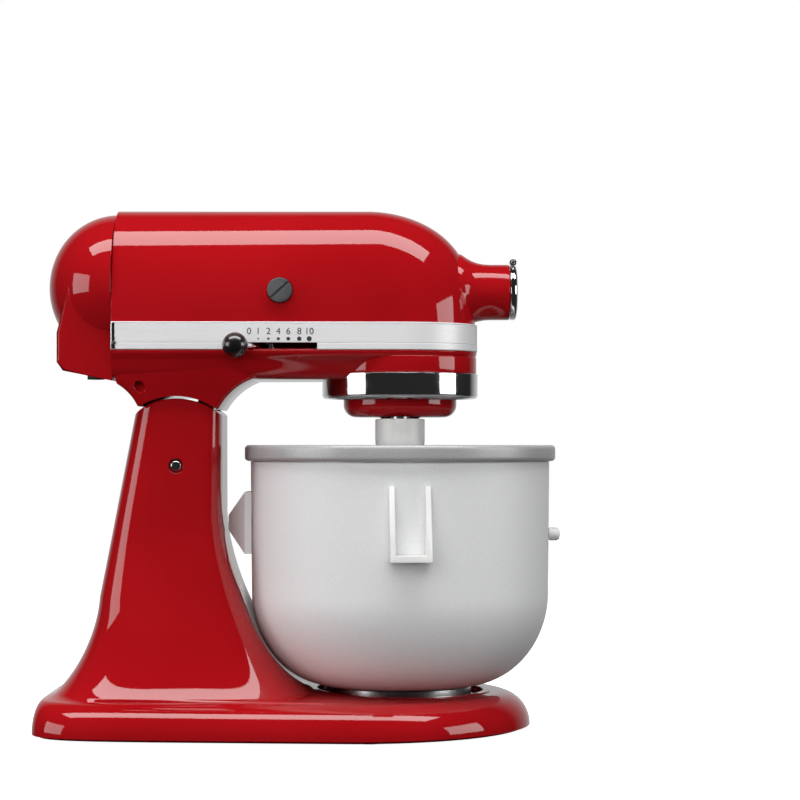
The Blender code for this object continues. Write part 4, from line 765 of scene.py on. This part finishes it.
def slot_cutter(low, high, more=0.0):
    """The near-side slot of the speed lever, between two heights."""
    return box((SLOT_REAR, -HEAD_HALF_REAR - 10 * MM, low), (SLOT_FRONT + more, -30 * MM, high))


def lock_slot_cutter():
    """The far-side slot that the head lock's lever slides in."""
    return box((LOCK_X - LOCK_MARGIN, 30 * MM, LOCK_Z - 4 * MM),
               (LOCK_X + LOCK_TRAVEL + LOCK_MARGIN, 70 * MM, LOCK_Z + 4 * MM))


def make_upper_housing():
    shell = mesh_object("upper_housing_shell", channel(housing_rows(0.0), housing_rows(HEAD_WALL)))
    flare = [(0, 34), (27.5, 34), (26.0, 42.0), (23.6, 45.5), (21.6, 49.0), (20.1, 53.0), (19.25, 57.5),
             (19, 62), (19, 74.0), (18.4, 74.9), (0, 74.9)]
    join(shell, turned([(r * MM, h * MM) for r, h in flare], 128, "X", (0, 0, HUB_Z)))
    cut(shell, disc(HUB_SCREW_HOLE, HUB_BORE - 5 * MM, 40 * MM, 32, "Y", (HUB_SCREW_X, 0, HUB_Z)))
    for side in ("Y", "-Y"):
        cut(shell, disc(BRUSH_CAP_RADIUS + TOUCH, 30 * MM, 80 * MM, 64, side, (BRUSH_X, 0, ARMATURE_Z)))
    cut(shell, slot_cutter(250 * MM, BAND_LOW + SLOT_HEIGHT, LEVER_SLANT))
    cut(shell, disc(HUB_BORE, 20 * MM, 100 * MM, 64, "X", (0, 0, HUB_Z)))
    finished(shell, "head", ENAMEL, ["upper_housing"])


def lug_outline():
    """The tongue under the neck that hangs on the hinge pin, clear of the column when tilted."""
    boss = 11 * MM
    reach = CROWN_RADIUS + SWING + 6 * MM
    left, right = math.radians(18.5), math.radians(30)
    boss_arc = arc((HINGE_X, HINGE_Z), boss, 170, 370, 24)
    top_right = (HINGE_X + reach * math.sin(right), HINGE_Z + reach * math.cos(right))
    top_left = (HINGE_X + reach * math.sin(left), HINGE_Z + reach * math.cos(left))
    return [*boss_arc, top_right, top_left]


def smooth_step(value):
    value = min(max(value, 0.0), 1.0)
    return value * value * (3 - 2 * value)


def case_row(z, front_pull, rear_pull, flat=False):
    """One row of the case's skin: drawn in by the rear pull over the neck, by the front pull before it."""
    sides, nose = 56, 72
    near = []
    for i in range(sides):
        x = HEAD_REAR * (1 - i / sides)
        half = HEAD_HALF_FRONT + (HEAD_HALF_REAR - HEAD_HALF_FRONT) * x / HEAD_REAR
        pull = rear_pull + (front_pull - rear_pull) * smooth_step((x + 104 * MM) / (44 * MM))
        near.append((x, 0.0 if flat else -(half - pull), z))
    reach = 0.0 if flat else HEAD_HALF_FRONT - front_pull
    tip = []
    for k in range(nose + 1):
        angle = -math.pi / 2 + math.pi * k / nose
        tip.append((reach * math.cos(angle), reach * math.sin(angle), z))
    return near + tip + [(x, -y, zz) for x, y, zz in reversed(near)]


def case_skin():
    """The case from its top edge down: a rounded ledge, then the flanks."""
    # height, then how far the skin is drawn in at the front and over the neck, in millimetres
    lip = [(255.9, 0.3, 0.3), (254.6, 0.45, 0.45), (253.4, 0.9, 0.9), (252.4, 1.6, 1.6),
           (251.4, 2.7, 2.4), (250.6, 4.0, 3.1), (249.6, 5.3, 3.6), (248.2, 6.6, 4.0), (246.4, 8.0, 4.5),
           (244.4, 9.4, 5.1), (242.4, 10.8, 5.9), (240.8, 12.0, 7.0), (239.4, 13.3, 8.6),
           (238.3, 15.0, 10.6), (237.5, 17.2, 13.4), (237.05, 19.6, 16.8), (237, 22, 20)]
    levels = [(SEAM - TOUCH, HOUSING_INSET, HOUSING_INSET),
              (BAND_LOW - TOUCH, HOUSING_INSET, HOUSING_INSET), (BAND_LOW - TOUCH, TOUCH, TOUCH)]
    levels += [(z * MM, front * MM, rear * MM) for z, front, rear in lip]
    return [case_row(z, front, rear) for z, front, rear in levels] + [case_row(CASE_BOTTOM, 0, 0, True)]


def case_lining():
    floor = CASE_BOTTOM + 3 * MM
    levels = [(SEAM - TOUCH, 5 * MM), (250 * MM, 8 * MM), (245 * MM, 12.5 * MM), (floor, 21 * MM)]
    return [case_row(z, pull, pull) for z, pull in levels] + [case_row(floor, 0, 0, True)]


def along(points, share):
    """The place at a share of a polyline's count."""
    place = share * (len(points) - 1)
    index = min(int(place), len(points) - 2)
    return Vector(points[index]).lerp(Vector(points[index + 1]), place - index)


def neck_patch():
    """Grid of (x, z, inset) from the seam up to the case, between the rear and the front curve."""
    seam = arc((HINGE_X, HINGE_Z), CROWN_RADIUS + SWING, 121.5, 54, 48)
    rear = [seam[0], *arc(NECK_REAR_CENTRE, NECK_REAR_RADIUS, 24, 61, 24), (HEAD_REAR + 0.5 * MM, NECK_TOP)]
    front = [seam[-1], *arc(NECK_FRONT_CENTRE, NECK_FRONT_RADIUS, 151.5, 93, 40),
             (HINGE_X + 72 * MM, NECK_TOP)]
    edge = 3.0 * MM  # radius of the neck's rounded edges
    span = 60 * MM
    closeness = [0.0, 0.12, 0.3, 0.6, 1.0, 1.5, 2.2, 3.0]
    shares = [d * MM / span for d in closeness]
    shares += [shares[-1] + (1 - 2 * shares[-1]) * k / 40 for k in range(1, 40)]
    shares += [1 - d * MM / span for d in reversed(closeness)]
    grid = []
    rows = 30
    for j in range(rows + 1):
        v = j / rows
        row = []
        for u in shares:
            low = along(seam, u)
            high = Vector((rear[-1][0] + (front[-1][0] - rear[-1][0]) * u, NECK_TOP))
            one = along(rear, v) - Vector(rear[0]).lerp(Vector(rear[-1]), v)
            two = along(front, v) - Vector(front[0]).lerp(Vector(front[-1]), v)
            place = low.lerp(high, v) + one * (1 - u) + two * u
            near = min(u, 1 - u) * span
            inset = edge - math.sqrt(max(edge * edge - (edge - near) ** 2, 0.0)) if near < edge else 0.0
            row.append((place.x, place.y, inset))
        grid.append(row)
    return grid


def neck_half(x, z):
    """Half width of the neck: as wide as the column at the seam, as the case above, less in front."""
    tuck = smooth_step((x + 114 * MM) / (36 * MM)) * smooth_step((z - 226 * MM) / (16 * MM))
    return NECK_HALF + 1.5 * MM + 8.0 * MM * smooth_step((z - 212 * MM) / (40 * MM)) - 9 * MM * tuck


def make_neck():
    """The neck, with a slanting pocket that lets a driver reach the hinge's set screw."""
    shape = bmesh.new()
    sheets = []
    for side in (-1, 1):
        sheet = []
        for row in neck_patch():
            sheet.append([shape.verts.new((x, side * (neck_half(x, z) - inset), z)) for x, z, inset in row])
        for one, two in zip(sheet, sheet[1:]):
            for k in range(len(one) - 1):
                shape.faces.new((one[k], one[k + 1], two[k + 1], two[k]))
        sheets.append(sheet)
    near, far = [[*s[0], *[row[-1] for row in s[1:]], *s[-1][-2::-1], *[row[0] for row in s[-2:0:-1]]]
                 for s in sheets]
    for k in range(len(near)):
        m = (k + 1) % len(near)
        shape.faces.new((near[k], near[m], far[m], far[k]))
    neck = mesh_object("gearcase_neck", shape)
    cut(neck, rod(POCKET_MOUTH, POCKET_END, POCKET_RADIUS, 40))
    cut(neck, lock_slot_cutter())
    finished(neck, "head", ENAMEL, angle=50)
    lug = mesh_object("gearcase_lug", side_prism(lug_outline(), LUG_HALF))
    cut(lug, disc(PIN_RADIUS + TOUCH, -60 * MM, 60 * MM, 40, "Y", (HINGE_X, 0, HINGE_Z)))
    finished(lug, "head", ENAMEL)
    face = (-176.6 * MM, -41.8 * MM, 238.4 * MM)
    screw = mesh_object("hinge_set_screw", rod(face, POCKET_END, POCKET_RADIUS - 0.5 * MM, 32))
    finished(screw, "head", BRASS)


def make_lower_gearcase():
    case = mesh_object("lower_gearcase_shell", channel(case_skin(), case_lining()))
    cut(case, slot_cutter(BAND_LOW + 0.5 * MM, 280 * MM, LEVER_SLANT))
    cut(case, lock_slot_cutter())
    finished(case, "head", ENAMEL, ["lower_gearcase"])
    drum, neck = HEAD_HALF_FRONT - 2 * TOUCH, 34 * MM
    floor, top = DRIP_TOP + TOUCH, BAND_LOW - 3.6 * MM
    bore = SHAFT_RADIUS + 0.5 * MM
    profile = rounded([(bore, floor), (drum, floor), (drum, top), (neck, top), (neck, floor + HEAD_WALL),
                       (bore, floor + HEAD_WALL)], 0.8 * MM, 4, closed=True)
    nose = mesh_object("gearcase_drum", turned(profile, 160, ring=True))
    finished(nose, "head", ENAMEL)
    step = DRIP_RADIUS - DRIP_WALL - TOUCH
    spigot = mesh_object("gearcase_spigot", tube(bore, step, RING_HIGH + TOUCH, floor + HEAD_WALL / 2, 96))
    finished(spigot, "head", ENAMEL)


def cover_dome(joint, inset, rows=36, around=120):
    deep = COVER_REAR + HEAD_REAR - inset
    rings = []
    for k in range(rows + 1):
        angle = math.radians(88.5 * k / rows)
        shrink = math.cos(angle)
        wide = (HEAD_HALF_REAR - 1.4 * MM - inset) * shrink
        rise = (HEAD_TOP - COVER_MIDDLE - 2.5 * MM - inset) * shrink
        fall = (COVER_DROP - inset) * shrink
        ring = []
        for i in range(around):
            a = 2 * math.pi * i / around
            tall = rise if a < math.pi else fall
            ring.append((joint - deep * math.sin(angle), wide * math.cos(a),
                         COVER_MIDDLE + tall * math.sin(a)))
        rings.append(ring)
    return loft(rings)


def cover_bulge(joint, inset):
    half = BULGE_HALF - inset
    back = joint - BULGE_DEPTH + inset
    low = CASE_BOTTOM - 1 * MM + inset
    outline = [(joint, COVER_MIDDLE), (back + 4 * MM, COVER_MIDDLE), (back, 268 * MM),
               (back, 250 * MM + inset), (back + 2.5 * MM, 246.5 * MM + inset), (joint, low)]
    shape = side_prism(outline, half)
    if inset:
        return shape

    def chosen(one, two):
        across = abs(one.y - two.y) > 1e-6
        behind = min(one.x, two.x) < joint - 1 * MM
        if across:
            return behind and one.z < 255 * MM
        return behind and abs(abs(one.y) - half) < 1e-6 and min(one.z, two.z) < COVER_MIDDLE - 1 * MM
    return softened(shape, chosen, 4.5 * MM, 6)


def make_rear_cover():
    joint = HEAD_REAR - TOUCH
    cover = mesh_object("rear_cover_shell", cover_dome(joint, 0.0))
    join(cover, cover_bulge(joint, 0.0))
    for hollow in (cover_dome(joint, COVER_WALL, 18, 60), cover_bulge(joint, COVER_WALL)):
        bmesh.ops.translate(hollow, vec=(1 * MM, 0, 0), verts=hollow.verts)
        cut(cover, hollow)
    cut(cover, disc(COVER_SCREW_HOLE, -50 * MM, 50 * MM, 32, "X", (joint - 40 * MM, 0, COVER_SCREW_Z)))
    cut(cover, disc(GLAND_RADIUS + TOUCH, 220 * MM, 262 * MM, 40, centre=(GLAND_X, GLAND_Y, 0)))
    finished(cover, "head", ENAMEL, ["rear_cover"])


def make_band():
    """The satin band with a fine groove above its lower border and one under its top edge."""
    # height above the band's foot and depth below its face, in millimetres
    face = [(0, 0.5), (0.4, 0.05), (4.1, 0.0), (4.3, 0.35), (4.7, 0.35), (4.9, 0.1), (17.0, 0.1),
            (17.2, 0.35), (17.5, 0.35), (17.7, 0.0), (18.2, 0.05), (18.5, 0.5)]
    rows = [head_outline(BAND_LOW + z * MM, inset=pull * MM) for z, pull in face]
    rows += [head_outline(BAND_LOW + z * MM, inset=BAND_WALL) for z in (18.5, 0)]
    shape = bmesh.new()
    grid = [[shape.verts.new(point) for point in row] for row in rows]
    for one, two in zip(grid, grid[1:] + grid[:1]):
        for i in range(len(one) - 1):
            shape.faces.new((one[i], one[i + 1], two[i + 1], two[i]))
    shape.faces.new([row[0] for row in grid])
    shape.faces.new([row[-1] for row in grid])
    band = mesh_object("trim_band_formed", shape)
    cut(band, slot_cutter(240 * MM, BAND_LOW + SLOT_HEIGHT))
    finished(band, "head", BAND, ["trim_band"], 25)


def make_band_ends():
    """Folded metal tab at the band's rear end, on both sides."""
    for side, tag in ((-1, "near"), (1, "far")):
        y = side * (HEAD_HALF_REAR + 0.25 * MM)
        low = (HEAD_REAR + 0.4 * MM, min(y, y - side * 0.9 * MM), BAND_LOW + 0.4 * MM)
        high = (HEAD_REAR + 3.0 * MM, max(y, y - side * 0.9 * MM), BAND_LOW + BAND_HEIGHT - 0.4 * MM)
        tab = mesh_object(f"band_end_{tag}", box(low, high))
        edge = tab.modifiers.new("edge", "BEVEL")
        edge.width = 0.25 * MM
        edge.segments = 3
        finished(tab, "head", CHROME)


def make_drip_ring():
    edge = 2.5 * MM
    inside = DRIP_RADIUS - DRIP_WALL
    outer = arc((DRIP_RADIUS - edge, DRIP_LOW + edge), edge, -90, 0, 10)
    profile = [*outer, (DRIP_RADIUS, DRIP_TOP - 0.3 * MM), (DRIP_RADIUS - 0.3 * MM, DRIP_TOP),
               (inside, DRIP_TOP), (inside, DRIP_LOW + edge), (DRIP_RADIUS - 2 * edge, DRIP_LOW + edge * 0.6),
               (DRIP_RADIUS - 1.7 * edge, DRIP_LOW + 0.1 * MM)]
    ring = mesh_object("drip_ring_spun", turned(profile, 160, ring=True))
    finished(ring, "head", CHROME, ["drip_ring"])


def make_brush_caps():
    wall = HEAD_HALF_REAR - 2 * MM
    face = wall + 1.2 * MM
    stem = BRUSH_CAP_RADIUS - 2 * MM
    foot = wall - 14 * MM
    profile = rounded([(0, foot), (stem, foot), (stem, wall - 6 * MM), (BRUSH_CAP_RADIUS, wall - 6 * MM),
                       (BRUSH_CAP_RADIUS, face), (0, face + 0.3 * MM)], 0.9 * MM, 4)
    for side, tag in (("-Y", "near"), ("Y", "far")):
        centre = (BRUSH_X, 0, ARMATURE_Z)
        cap = mesh_object(f"brush_cap_slotted_{tag}", turned(profile, 72, side, centre))
        blade = box((-0.85 * MM, -9 * MM, face - 1.5 * MM), (0.85 * MM, 9 * MM, face + 5 * MM))
        cut(cap, turn_to(spun_about_z(blade, math.radians(-48)), side, centre))
        finished(cap, "head", SLATE, [f"brush_cap_{tag}"])


def make_hub_cover():
    low = HUB_REACH + TOUCH
    profile = [(0, low), (HUB_RADIUS - 0.5 * MM, low), (HUB_RADIUS, low + 0.5 * MM),
               (HUB_RADIUS, low + 3.2 * MM), (HUB_RADIUS - 1.2 * MM, low + 4.4 * MM),
               (HUB_RADIUS - 6 * MM, low + 5.2 * MM), (0, low + 5.8 * MM)]
    cover = mesh_object("hub_cover_pressed", turned(rounded(profile, 0.8 * MM, 4), 96, "X", (0, 0, HUB_Z)))
    place = (HUB_REACH + 2.6 * MM, 0, HUB_Z + HUB_RADIUS + 1.4 * MM)
    join(cover, disc(2.4 * MM, -5 * MM, 5 * MM, 32, "Y", place))
    cut(cover, disc(1.4 * MM, -30 * MM, 30 * MM, 24, "Y", place))
    finished(cover, "hub_flap", CHROME, ["hub_cover"])


def make_knobs():
    low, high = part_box("speed_knob")
    centre = (low + high) / 2 - AXIS
    ball = bmesh.new()
    bmesh.ops.create_uvsphere(ball, u_segments=64, v_segments=40, radius=(high.x - low.x) / 2)
    bmesh.ops.translate(ball, vec=centre, verts=ball.verts)
    knob = mesh_object("speed_knob_ball", ball)
    finished(knob, "speed_control", BLACK, ["speed_knob"])
    start, grip = HUB_RADIUS + 1 * MM, 10.5 * MM
    profile = rounded([(0, HUB_BORE - 4 * MM), (3.2 * MM, HUB_BORE - 4 * MM), (3.2 * MM, start),
                       (grip - 1 * MM, start), (grip, start + 2 * MM), (grip, start + 13.5 * MM),
                       (grip - 2 * MM, start + 15.7 * MM), (0, start + 16 * MM)], 1.2 * MM, 4)
    body = mesh_object("attachment_knob_fluted", turned(profile, 96, "Y", (HUB_SCREW_X, 0, HUB_Z)))
    flutes = 8
    for k in range(flutes):
        angle = 2 * math.pi * k / flutes
        centre = (HUB_SCREW_X + 12 * MM * math.cos(angle), 0, HUB_Z + 12 * MM * math.sin(angle))
        cut(body, disc(2.6 * MM, start - 2 * MM, start + 20 * MM, 32, "Y", centre))
    finished(body, "hub_knob", BLACK, ["attachment_knob"])
    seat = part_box("lock_knob")[0].y
    profile = rounded([(0, 0), (4 * MM, 0), (6 * MM, 2.5 * MM), (6 * MM, 6 * MM), (4 * MM, 8.5 * MM),
                       (0, 9 * MM)], 1.2 * MM, 4)
    knob = mesh_object("lock_knob_turned", turned(profile, 64, "Y", (LOCK_X, seat, LOCK_Z)))
    finished(knob, "head_lock", BLACK, ["lock_knob"])


def make_dial():
    """Speed numbers on the band with growing dots under them."""
    side_turn = math.atan2(HEAD_HALF_REAR - HEAD_HALF_FRONT, -HEAD_REAR)
    marks = [("0", -100.2), ("1", -94.2), ("2", -87.4), ("4", -80.8), ("6", -74.2), ("8", -66.9),
             ("10", -60.3)]
    print_height = 0.06 * MM
    for index, (text, x) in enumerate(marks):
        x *= MM
        y = -(HEAD_HALF_FRONT + (HEAD_HALF_REAR - HEAD_HALF_FRONT) * x / HEAD_REAR) + print_height
        curve = bpy.data.curves.new(f"dial_{text}", "FONT")
        curve.body = text
        curve.size = 6.2 * MM
        curve.extrude = print_height
        curve.align_x = "CENTER"
        letters = bpy.data.objects.new(f"dial_{text}", curve)
        bpy.context.scene.collection.objects.link(letters)
        place = AXIS + Vector((x, y, BAND_LOW + 10.1 * MM))
        letters.matrix_world = (Matrix.Translation(place) @ Matrix.Rotation(-side_turn, 4, "Z")
                                @ Matrix.Rotation(math.pi / 2, 4, "X"))
        bpy.context.view_layer.update()
        mesh = bpy.data.meshes.new_from_object(letters.evaluated_get(bpy.context.evaluated_depsgraph_get()))
        mesh.transform(letters.matrix_world)
        bpy.data.objects.remove(letters, do_unlink=True)
        mark = bpy.data.objects.new(f"dial_number_{text}", mesh)
        bpy.context.scene.collection.objects.link(mark)
        finished(mark, "head", INK)
        if index:
            radius = (0.35 + 0.22 * index) * MM
            profile = [(0, -print_height), (radius, -print_height), (radius, print_height), (0, 0.08 * MM)]
            dot = mesh_object(f"dial_dot_{text}", turned(profile, 24, "-Y", (x, y, BAND_LOW + 7.1 * MM)))
            finished(dot, "head", INK)


# ---------------------------------------------------------------- planetary and bowl

def make_planetary():
    edge = 8.5 * MM
    corner = arc((PLANET_RADIUS - edge, PLANET_LOW + edge), edge, -90, 0, 12)
    bore, seat = SHAFT_RADIUS + TOUCH, PLANET_LOW + 6 * MM
    profile = [(6.3 * MM, PLANET_LOW - 1 * MM), (12.6 * MM, PLANET_LOW - 1 * MM),
               (13 * MM, PLANET_LOW - 0.8 * MM), (13.6 * MM, PLANET_LOW - 0.2 * MM), (14.4 * MM, PLANET_LOW),
               *corner, (PLANET_RADIUS, PLANET_TOP), (9 * MM, PLANET_TOP), (9 * MM, RING_HIGH),
               (bore, RING_HIGH), (bore, seat), (6.3 * MM, seat)]
    hub = mesh_object("planetary_hub_cast", turned(profile, 128, ring=True))
    pin_bore, beater_bore = 1.8 * MM, 6.5 * MM
    cut(hub, disc(pin_bore, -20 * MM, 20 * MM, 24, "X", (0, 0, 229 * MM)))
    cut(hub, disc(beater_bore, 200 * MM, 240 * MM, 48, centre=(0, -PLANET_OFFSET, 0)))
    finished(hub, "planetary", ENAMEL, ["planetary_hub"])


def make_coupler():
    top = PLANET_LOW - 1 * MM - TOUCH
    far = PLANET_OFFSET
    end = COLLAR_RADIUS - 2 * MM
    mouth = COLLAR_RADIUS - 4 * MM
    roof = COLLAR_LOW + 11 * MM
    count = 48

    def stadium(radius, end_radius, z):
        near = [(radius * math.cos(a), radius * math.sin(a), z)
                for a in (math.pi * i / count for i in range(count + 1))]
        rest = [(end_radius * math.cos(a), -far + end_radius * math.sin(a), z)
                for a in (math.pi + math.pi * i / count for i in range(count + 1))]
        return near + rest

    rings = [stadium(COLLAR_RADIUS - 2.3 * MM, end - 1.8 * MM, COLLAR_LOW),
             stadium(COLLAR_RADIUS - 2 * MM, end - 1.5 * MM, COLLAR_LOW + 0.3 * MM)]
    for k in range(1, 9):
        t = k / 8
        rings.append(stadium(COLLAR_RADIUS - 2 * MM * (1 - t) ** 1.5, end - 1.5 * MM * (1 - t) ** 1.5,
                             COLLAR_LOW + (0.3 + 9.7 * t) * MM))
    rings.append(stadium(COLLAR_RADIUS, end, top - 0.5 * MM))
    rings.append(stadium(COLLAR_RADIUS - 0.5 * MM, end - 0.5 * MM, top))
    coupler = mesh_object("drive_coupler_moulded", loft(rings))
    join(coupler, disc(6 * MM, top - 3 * MM, top + 5 * MM, 48))
    hollow = [(0, COLLAR_LOW - 5 * MM), (mouth, COLLAR_LOW - 5 * MM), (mouth, COLLAR_LOW + 2 * MM),
              (mouth - 0.5 * MM, roof), (0, roof)]
    cut(coupler, turned(hollow, 64))
    for side in (-1, 1):
        dog = box((6.6 * MM, -1.6 * MM, COLLAR_LOW + 2.5 * MM), (mouth + 0.5 * MM, 1.6 * MM, roof + 1 * MM))
        join(coupler, spun_about_z(dog, math.radians(90 + 90 * side + 45)))
    cut(coupler, disc(end - 3.4 * MM, COLLAR_LOW + 5 * MM, top + 20 * MM, 48, centre=(0, -far, 0)))
    finished(coupler, "planetary", WHITE, ["drive_coupler"])


def bowl_curve(radius, low, bend, steps=28, foot=0.0):
    points = []
    for i in range(steps + 1):
        angle = math.radians(90 * i / steps)
        points.append((foot + (radius - foot) * math.sin(angle), bend - (bend - low) * math.cos(angle)))
    return points


def make_bowl():
    top = RIM_LOW - TOUCH
    narrow = BOWL_RADIUS - 0.8 * MM
    foot = BOWL_FOOT_EDGE
    outer = bowl_curve(narrow, BOWL_LOW, BOWL_BEND, foot=foot)
    inner = bowl_curve(narrow - BOWL_WALL, BOWL_LOW + BOWL_WALL, BOWL_BEND, foot=foot)
    profile = [(0, BOWL_LOW), *outer, (BOWL_RADIUS, top), (BOWL_RADIUS - BOWL_WALL, top),
               *reversed(inner), (0, BOWL_LOW + BOWL_WALL)]
    shell = mesh_object("bowl_shell_spun", turned(profile, 192))
    finished(shell, "freeze_bowl", BOWL_GREY, ["bowl_shell"])
    narrow = LINER_RADIUS - 1.5 * MM
    bend = LINER_LOW + 45 * MM
    inside = bowl_curve(narrow, LINER_LOW, bend)
    outside = bowl_curve(narrow + BOWL_WALL, LINER_LOW - BOWL_WALL, bend)
    profile = [*outside, (LINER_RADIUS + BOWL_WALL, top), (LINER_RADIUS, top), *reversed(inside)]
    lining = mesh_object("bowl_liner_spun", turned(profile, 160))
    finished(lining, "freeze_bowl", LINER, ["bowl_liner"])
    profile = rounded([(LINER_RADIUS, RIM_LOW), (RIM_RADIUS, RIM_LOW), (RIM_RADIUS, RIM_TOP),
                       (LINER_RADIUS, RIM_TOP)], 3.2 * MM, 8, closed=True)
    rim = mesh_object("bowl_rim_formed", turned(profile, 192, ring=True))
    finished(rim, "freeze_bowl", RIM_GREY, ["bowl_rim"])
    low = 18.5 * MM
    profile = rounded([(FOOT_RING - 7 * MM, low), (FOOT_RING, low), (FOOT_RING, BOWL_LOW - TOUCH),
                       (FOOT_RING - 7 * MM, BOWL_LOW - TOUCH)], 0.7 * MM, 3, closed=True)
    ring = mesh_object("bowl_foot_ring", turned(profile, 128, ring=True))
    for turn in range(3):
        lug = box((FOOT_RING - 3 * MM, -6 * MM, low), (FOOT_RING + 2.2 * MM, 6 * MM, 20.1 * MM))
        join(ring, spun_about_z(lug, math.radians(120 * turn + NOTCH_ANGLE - 25)))
    finished(ring, "freeze_bowl", STEEL, ["bowl_foot"])


# ---------------------------------------------------------------- kept nodes

def smooth_kept_nodes():
    """Give the nodes that stay their finish, and weld and split them for smooth shading."""
    record = frame["record"]
    slots = {row["node"]: row["material_slot"] for row in record["subparts"]}
    special = {"carbon_brush_near": CARBON, "carbon_brush_far": CARBON, "rear_bracket": BOWL_GREY,
               "side_bracket_near": WHITE, "side_bracket_far": WHITE}
    for name, piece in NODES.items():
        if piece.hide_render:
            continue
        material = special.get(name) or FINISH[slots[name]]
        piece.data.materials.clear()
        piece.data.materials.append(material)
        custom = piece.data.attributes.get("custom_normal")
        if custom:
            piece.data.attributes.remove(custom)
        piece.data.shade_smooth()
        weld = piece.modifiers.new("weld", "WELD")
        weld.merge_threshold = 0.02 * MM
        split = piece.modifiers.new("split", "EDGE_SPLIT")
        split.split_angle = math.radians(32)


# ---------------------------------------------------------------- studio

def area_light(name, place, target, size, radiance):
    lamp = bpy.data.lights.new(name, "AREA")
    lamp.shape = "RECTANGLE"
    lamp.size, lamp.size_y = size
    lamp.energy = radiance * math.pi * size[0] * size[1]
    piece = bpy.data.objects.new(name, lamp)
    piece.location = place
    away = Vector(place) - Vector(target)
    piece.rotation_mode = "QUATERNION"
    piece.rotation_quaternion = away.to_track_quat("Z", "Y")
    piece.visible_camera = False
    bpy.context.scene.collection.objects.link(piece)
    return piece


def make_world():
    """White behind the object, dim in front of it, and white to the eye all round."""
    world = bpy.data.worlds.new("studio")
    bpy.context.scene.world = world
    world.use_nodes = True
    tree = world.node_tree
    tree.nodes.clear()
    places = tree.nodes.new("ShaderNodeTexCoord")
    split = tree.nodes.new("ShaderNodeSeparateXYZ")
    tree.links.new(places.outputs["Generated"], split.inputs["Vector"])
    side_edge, back_edge = 0.60, 0.97
    dimmest, brightest = 0.02, 0.62
    span = tree.nodes.new("ShaderNodeMapRange")
    span.inputs["From Min"].default_value = side_edge
    span.inputs["From Max"].default_value = back_edge
    span.inputs["To Min"].default_value = dimmest
    span.inputs["To Max"].default_value = brightest
    tree.links.new(split.outputs["Y"], span.inputs["Value"])
    dim = tree.nodes.new("ShaderNodeBackground")
    dim.inputs["Color"].default_value = (1.0, 1.0, 1.0, 1.0)
    tree.links.new(span.outputs["Result"], dim.inputs["Strength"])
    white = tree.nodes.new("ShaderNodeBackground")
    white.inputs["Color"].default_value = (1.0, 1.0, 1.0, 1.0)
    white.inputs["Strength"].default_value = 1.0
    ray = tree.nodes.new("ShaderNodeLightPath")
    mix = tree.nodes.new("ShaderNodeMixShader")
    tree.links.new(ray.outputs["Is Camera Ray"], mix.inputs["Fac"])
    tree.links.new(dim.outputs["Background"], mix.inputs[1])
    tree.links.new(white.outputs["Background"], mix.inputs[2])
    out = tree.nodes.new("ShaderNodeOutputWorld")
    tree.links.new(mix.outputs["Shader"], out.inputs["Surface"])


def make_floor():
    shape = bmesh.new()
    bmesh.ops.create_grid(shape, x_segments=8, y_segments=8, size=6.0)
    floor = mesh_object("studio_floor", shape)
    paint = Paint("floor_pale", (0.9, 0.9, 0.9), 0.9)
    paint.vary_colour(paint.noise(3.0, 2.0), (0.90, 0.90, 0.90), (0.93, 0.93, 0.93))
    paint.set("Specular IOR Level", 0.0)
    paint.set("Emission Color", (1.0, 1.0, 1.0, 1.0))
    paint.set("Emission Strength", 0.95)
    floor.data.materials.append(paint.material)
    floor.visible_glossy = False
    floor.visible_diffuse = False


def make_lights():
    """Softboxes above, left and right, and a broad fill from the camera's side that shows no reflection."""
    heart = AXIS + Vector((-60 * MM, 0, 190 * MM))
    area_light("softbox_top", AXIS + Vector((-0.05, -0.44, 1.60)), AXIS + Vector((-0.05, -0.36, 0.3)),
               (2.4, 0.56), 7.0)
    area_light("softbox_left", AXIS + Vector((-1.45, -0.62, 0.42)), heart, (0.85, 0.62), 3.6)
    area_light("softbox_right", AXIS + Vector((1.50, -0.42, 0.46)), heart, (0.80, 0.60), 4.2)
    fill = area_light("fill", AXIS + Vector((-0.35, -2.4, 0.80)), heart, (2.6, 1.8), 2.3)
    fill.visible_glossy = False


def make_camera():
    """Level view square to the side, as far off as the picture's perspective needs."""
    distance, height = 1.65, 0.193
    frame_width = 800
    scale = 1456.0  # pixels per metre at the bowl axis
    camera = bpy.data.cameras.new("camera")
    camera.sensor_width = 36.0
    camera.lens = scale * distance * camera.sensor_width / frame_width
    camera.shift_y = 45 / frame_width
    camera.clip_start, camera.clip_end = 0.05, 50.0
    piece = bpy.data.objects.new("camera", camera)
    piece.location = AXIS + Vector((0, -distance, height))
    piece.rotation_euler = (math.pi / 2, 0, 0)
    bpy.context.scene.collection.objects.link(piece)
    bpy.context.scene.camera = piece


def make_studio():
    make_world()
    make_floor()
    make_lights()
    make_camera()
    view = bpy.context.scene.view_settings
    view.view_transform = "Standard"
    view.look = "None"
    view.exposure = 0.0


# ---------------------------------------------------------------- assembly

make_pedestal()
make_clamp_plate()
make_hinge_pin()
make_upper_housing()
make_lower_gearcase()
make_neck()
make_rear_cover()
make_band()
make_band_ends()
make_drip_ring()
make_brush_caps()
make_hub_cover()
make_knobs()
make_dial()
make_planetary()
make_coupler()
make_bowl()
smooth_kept_nodes()
make_studio()
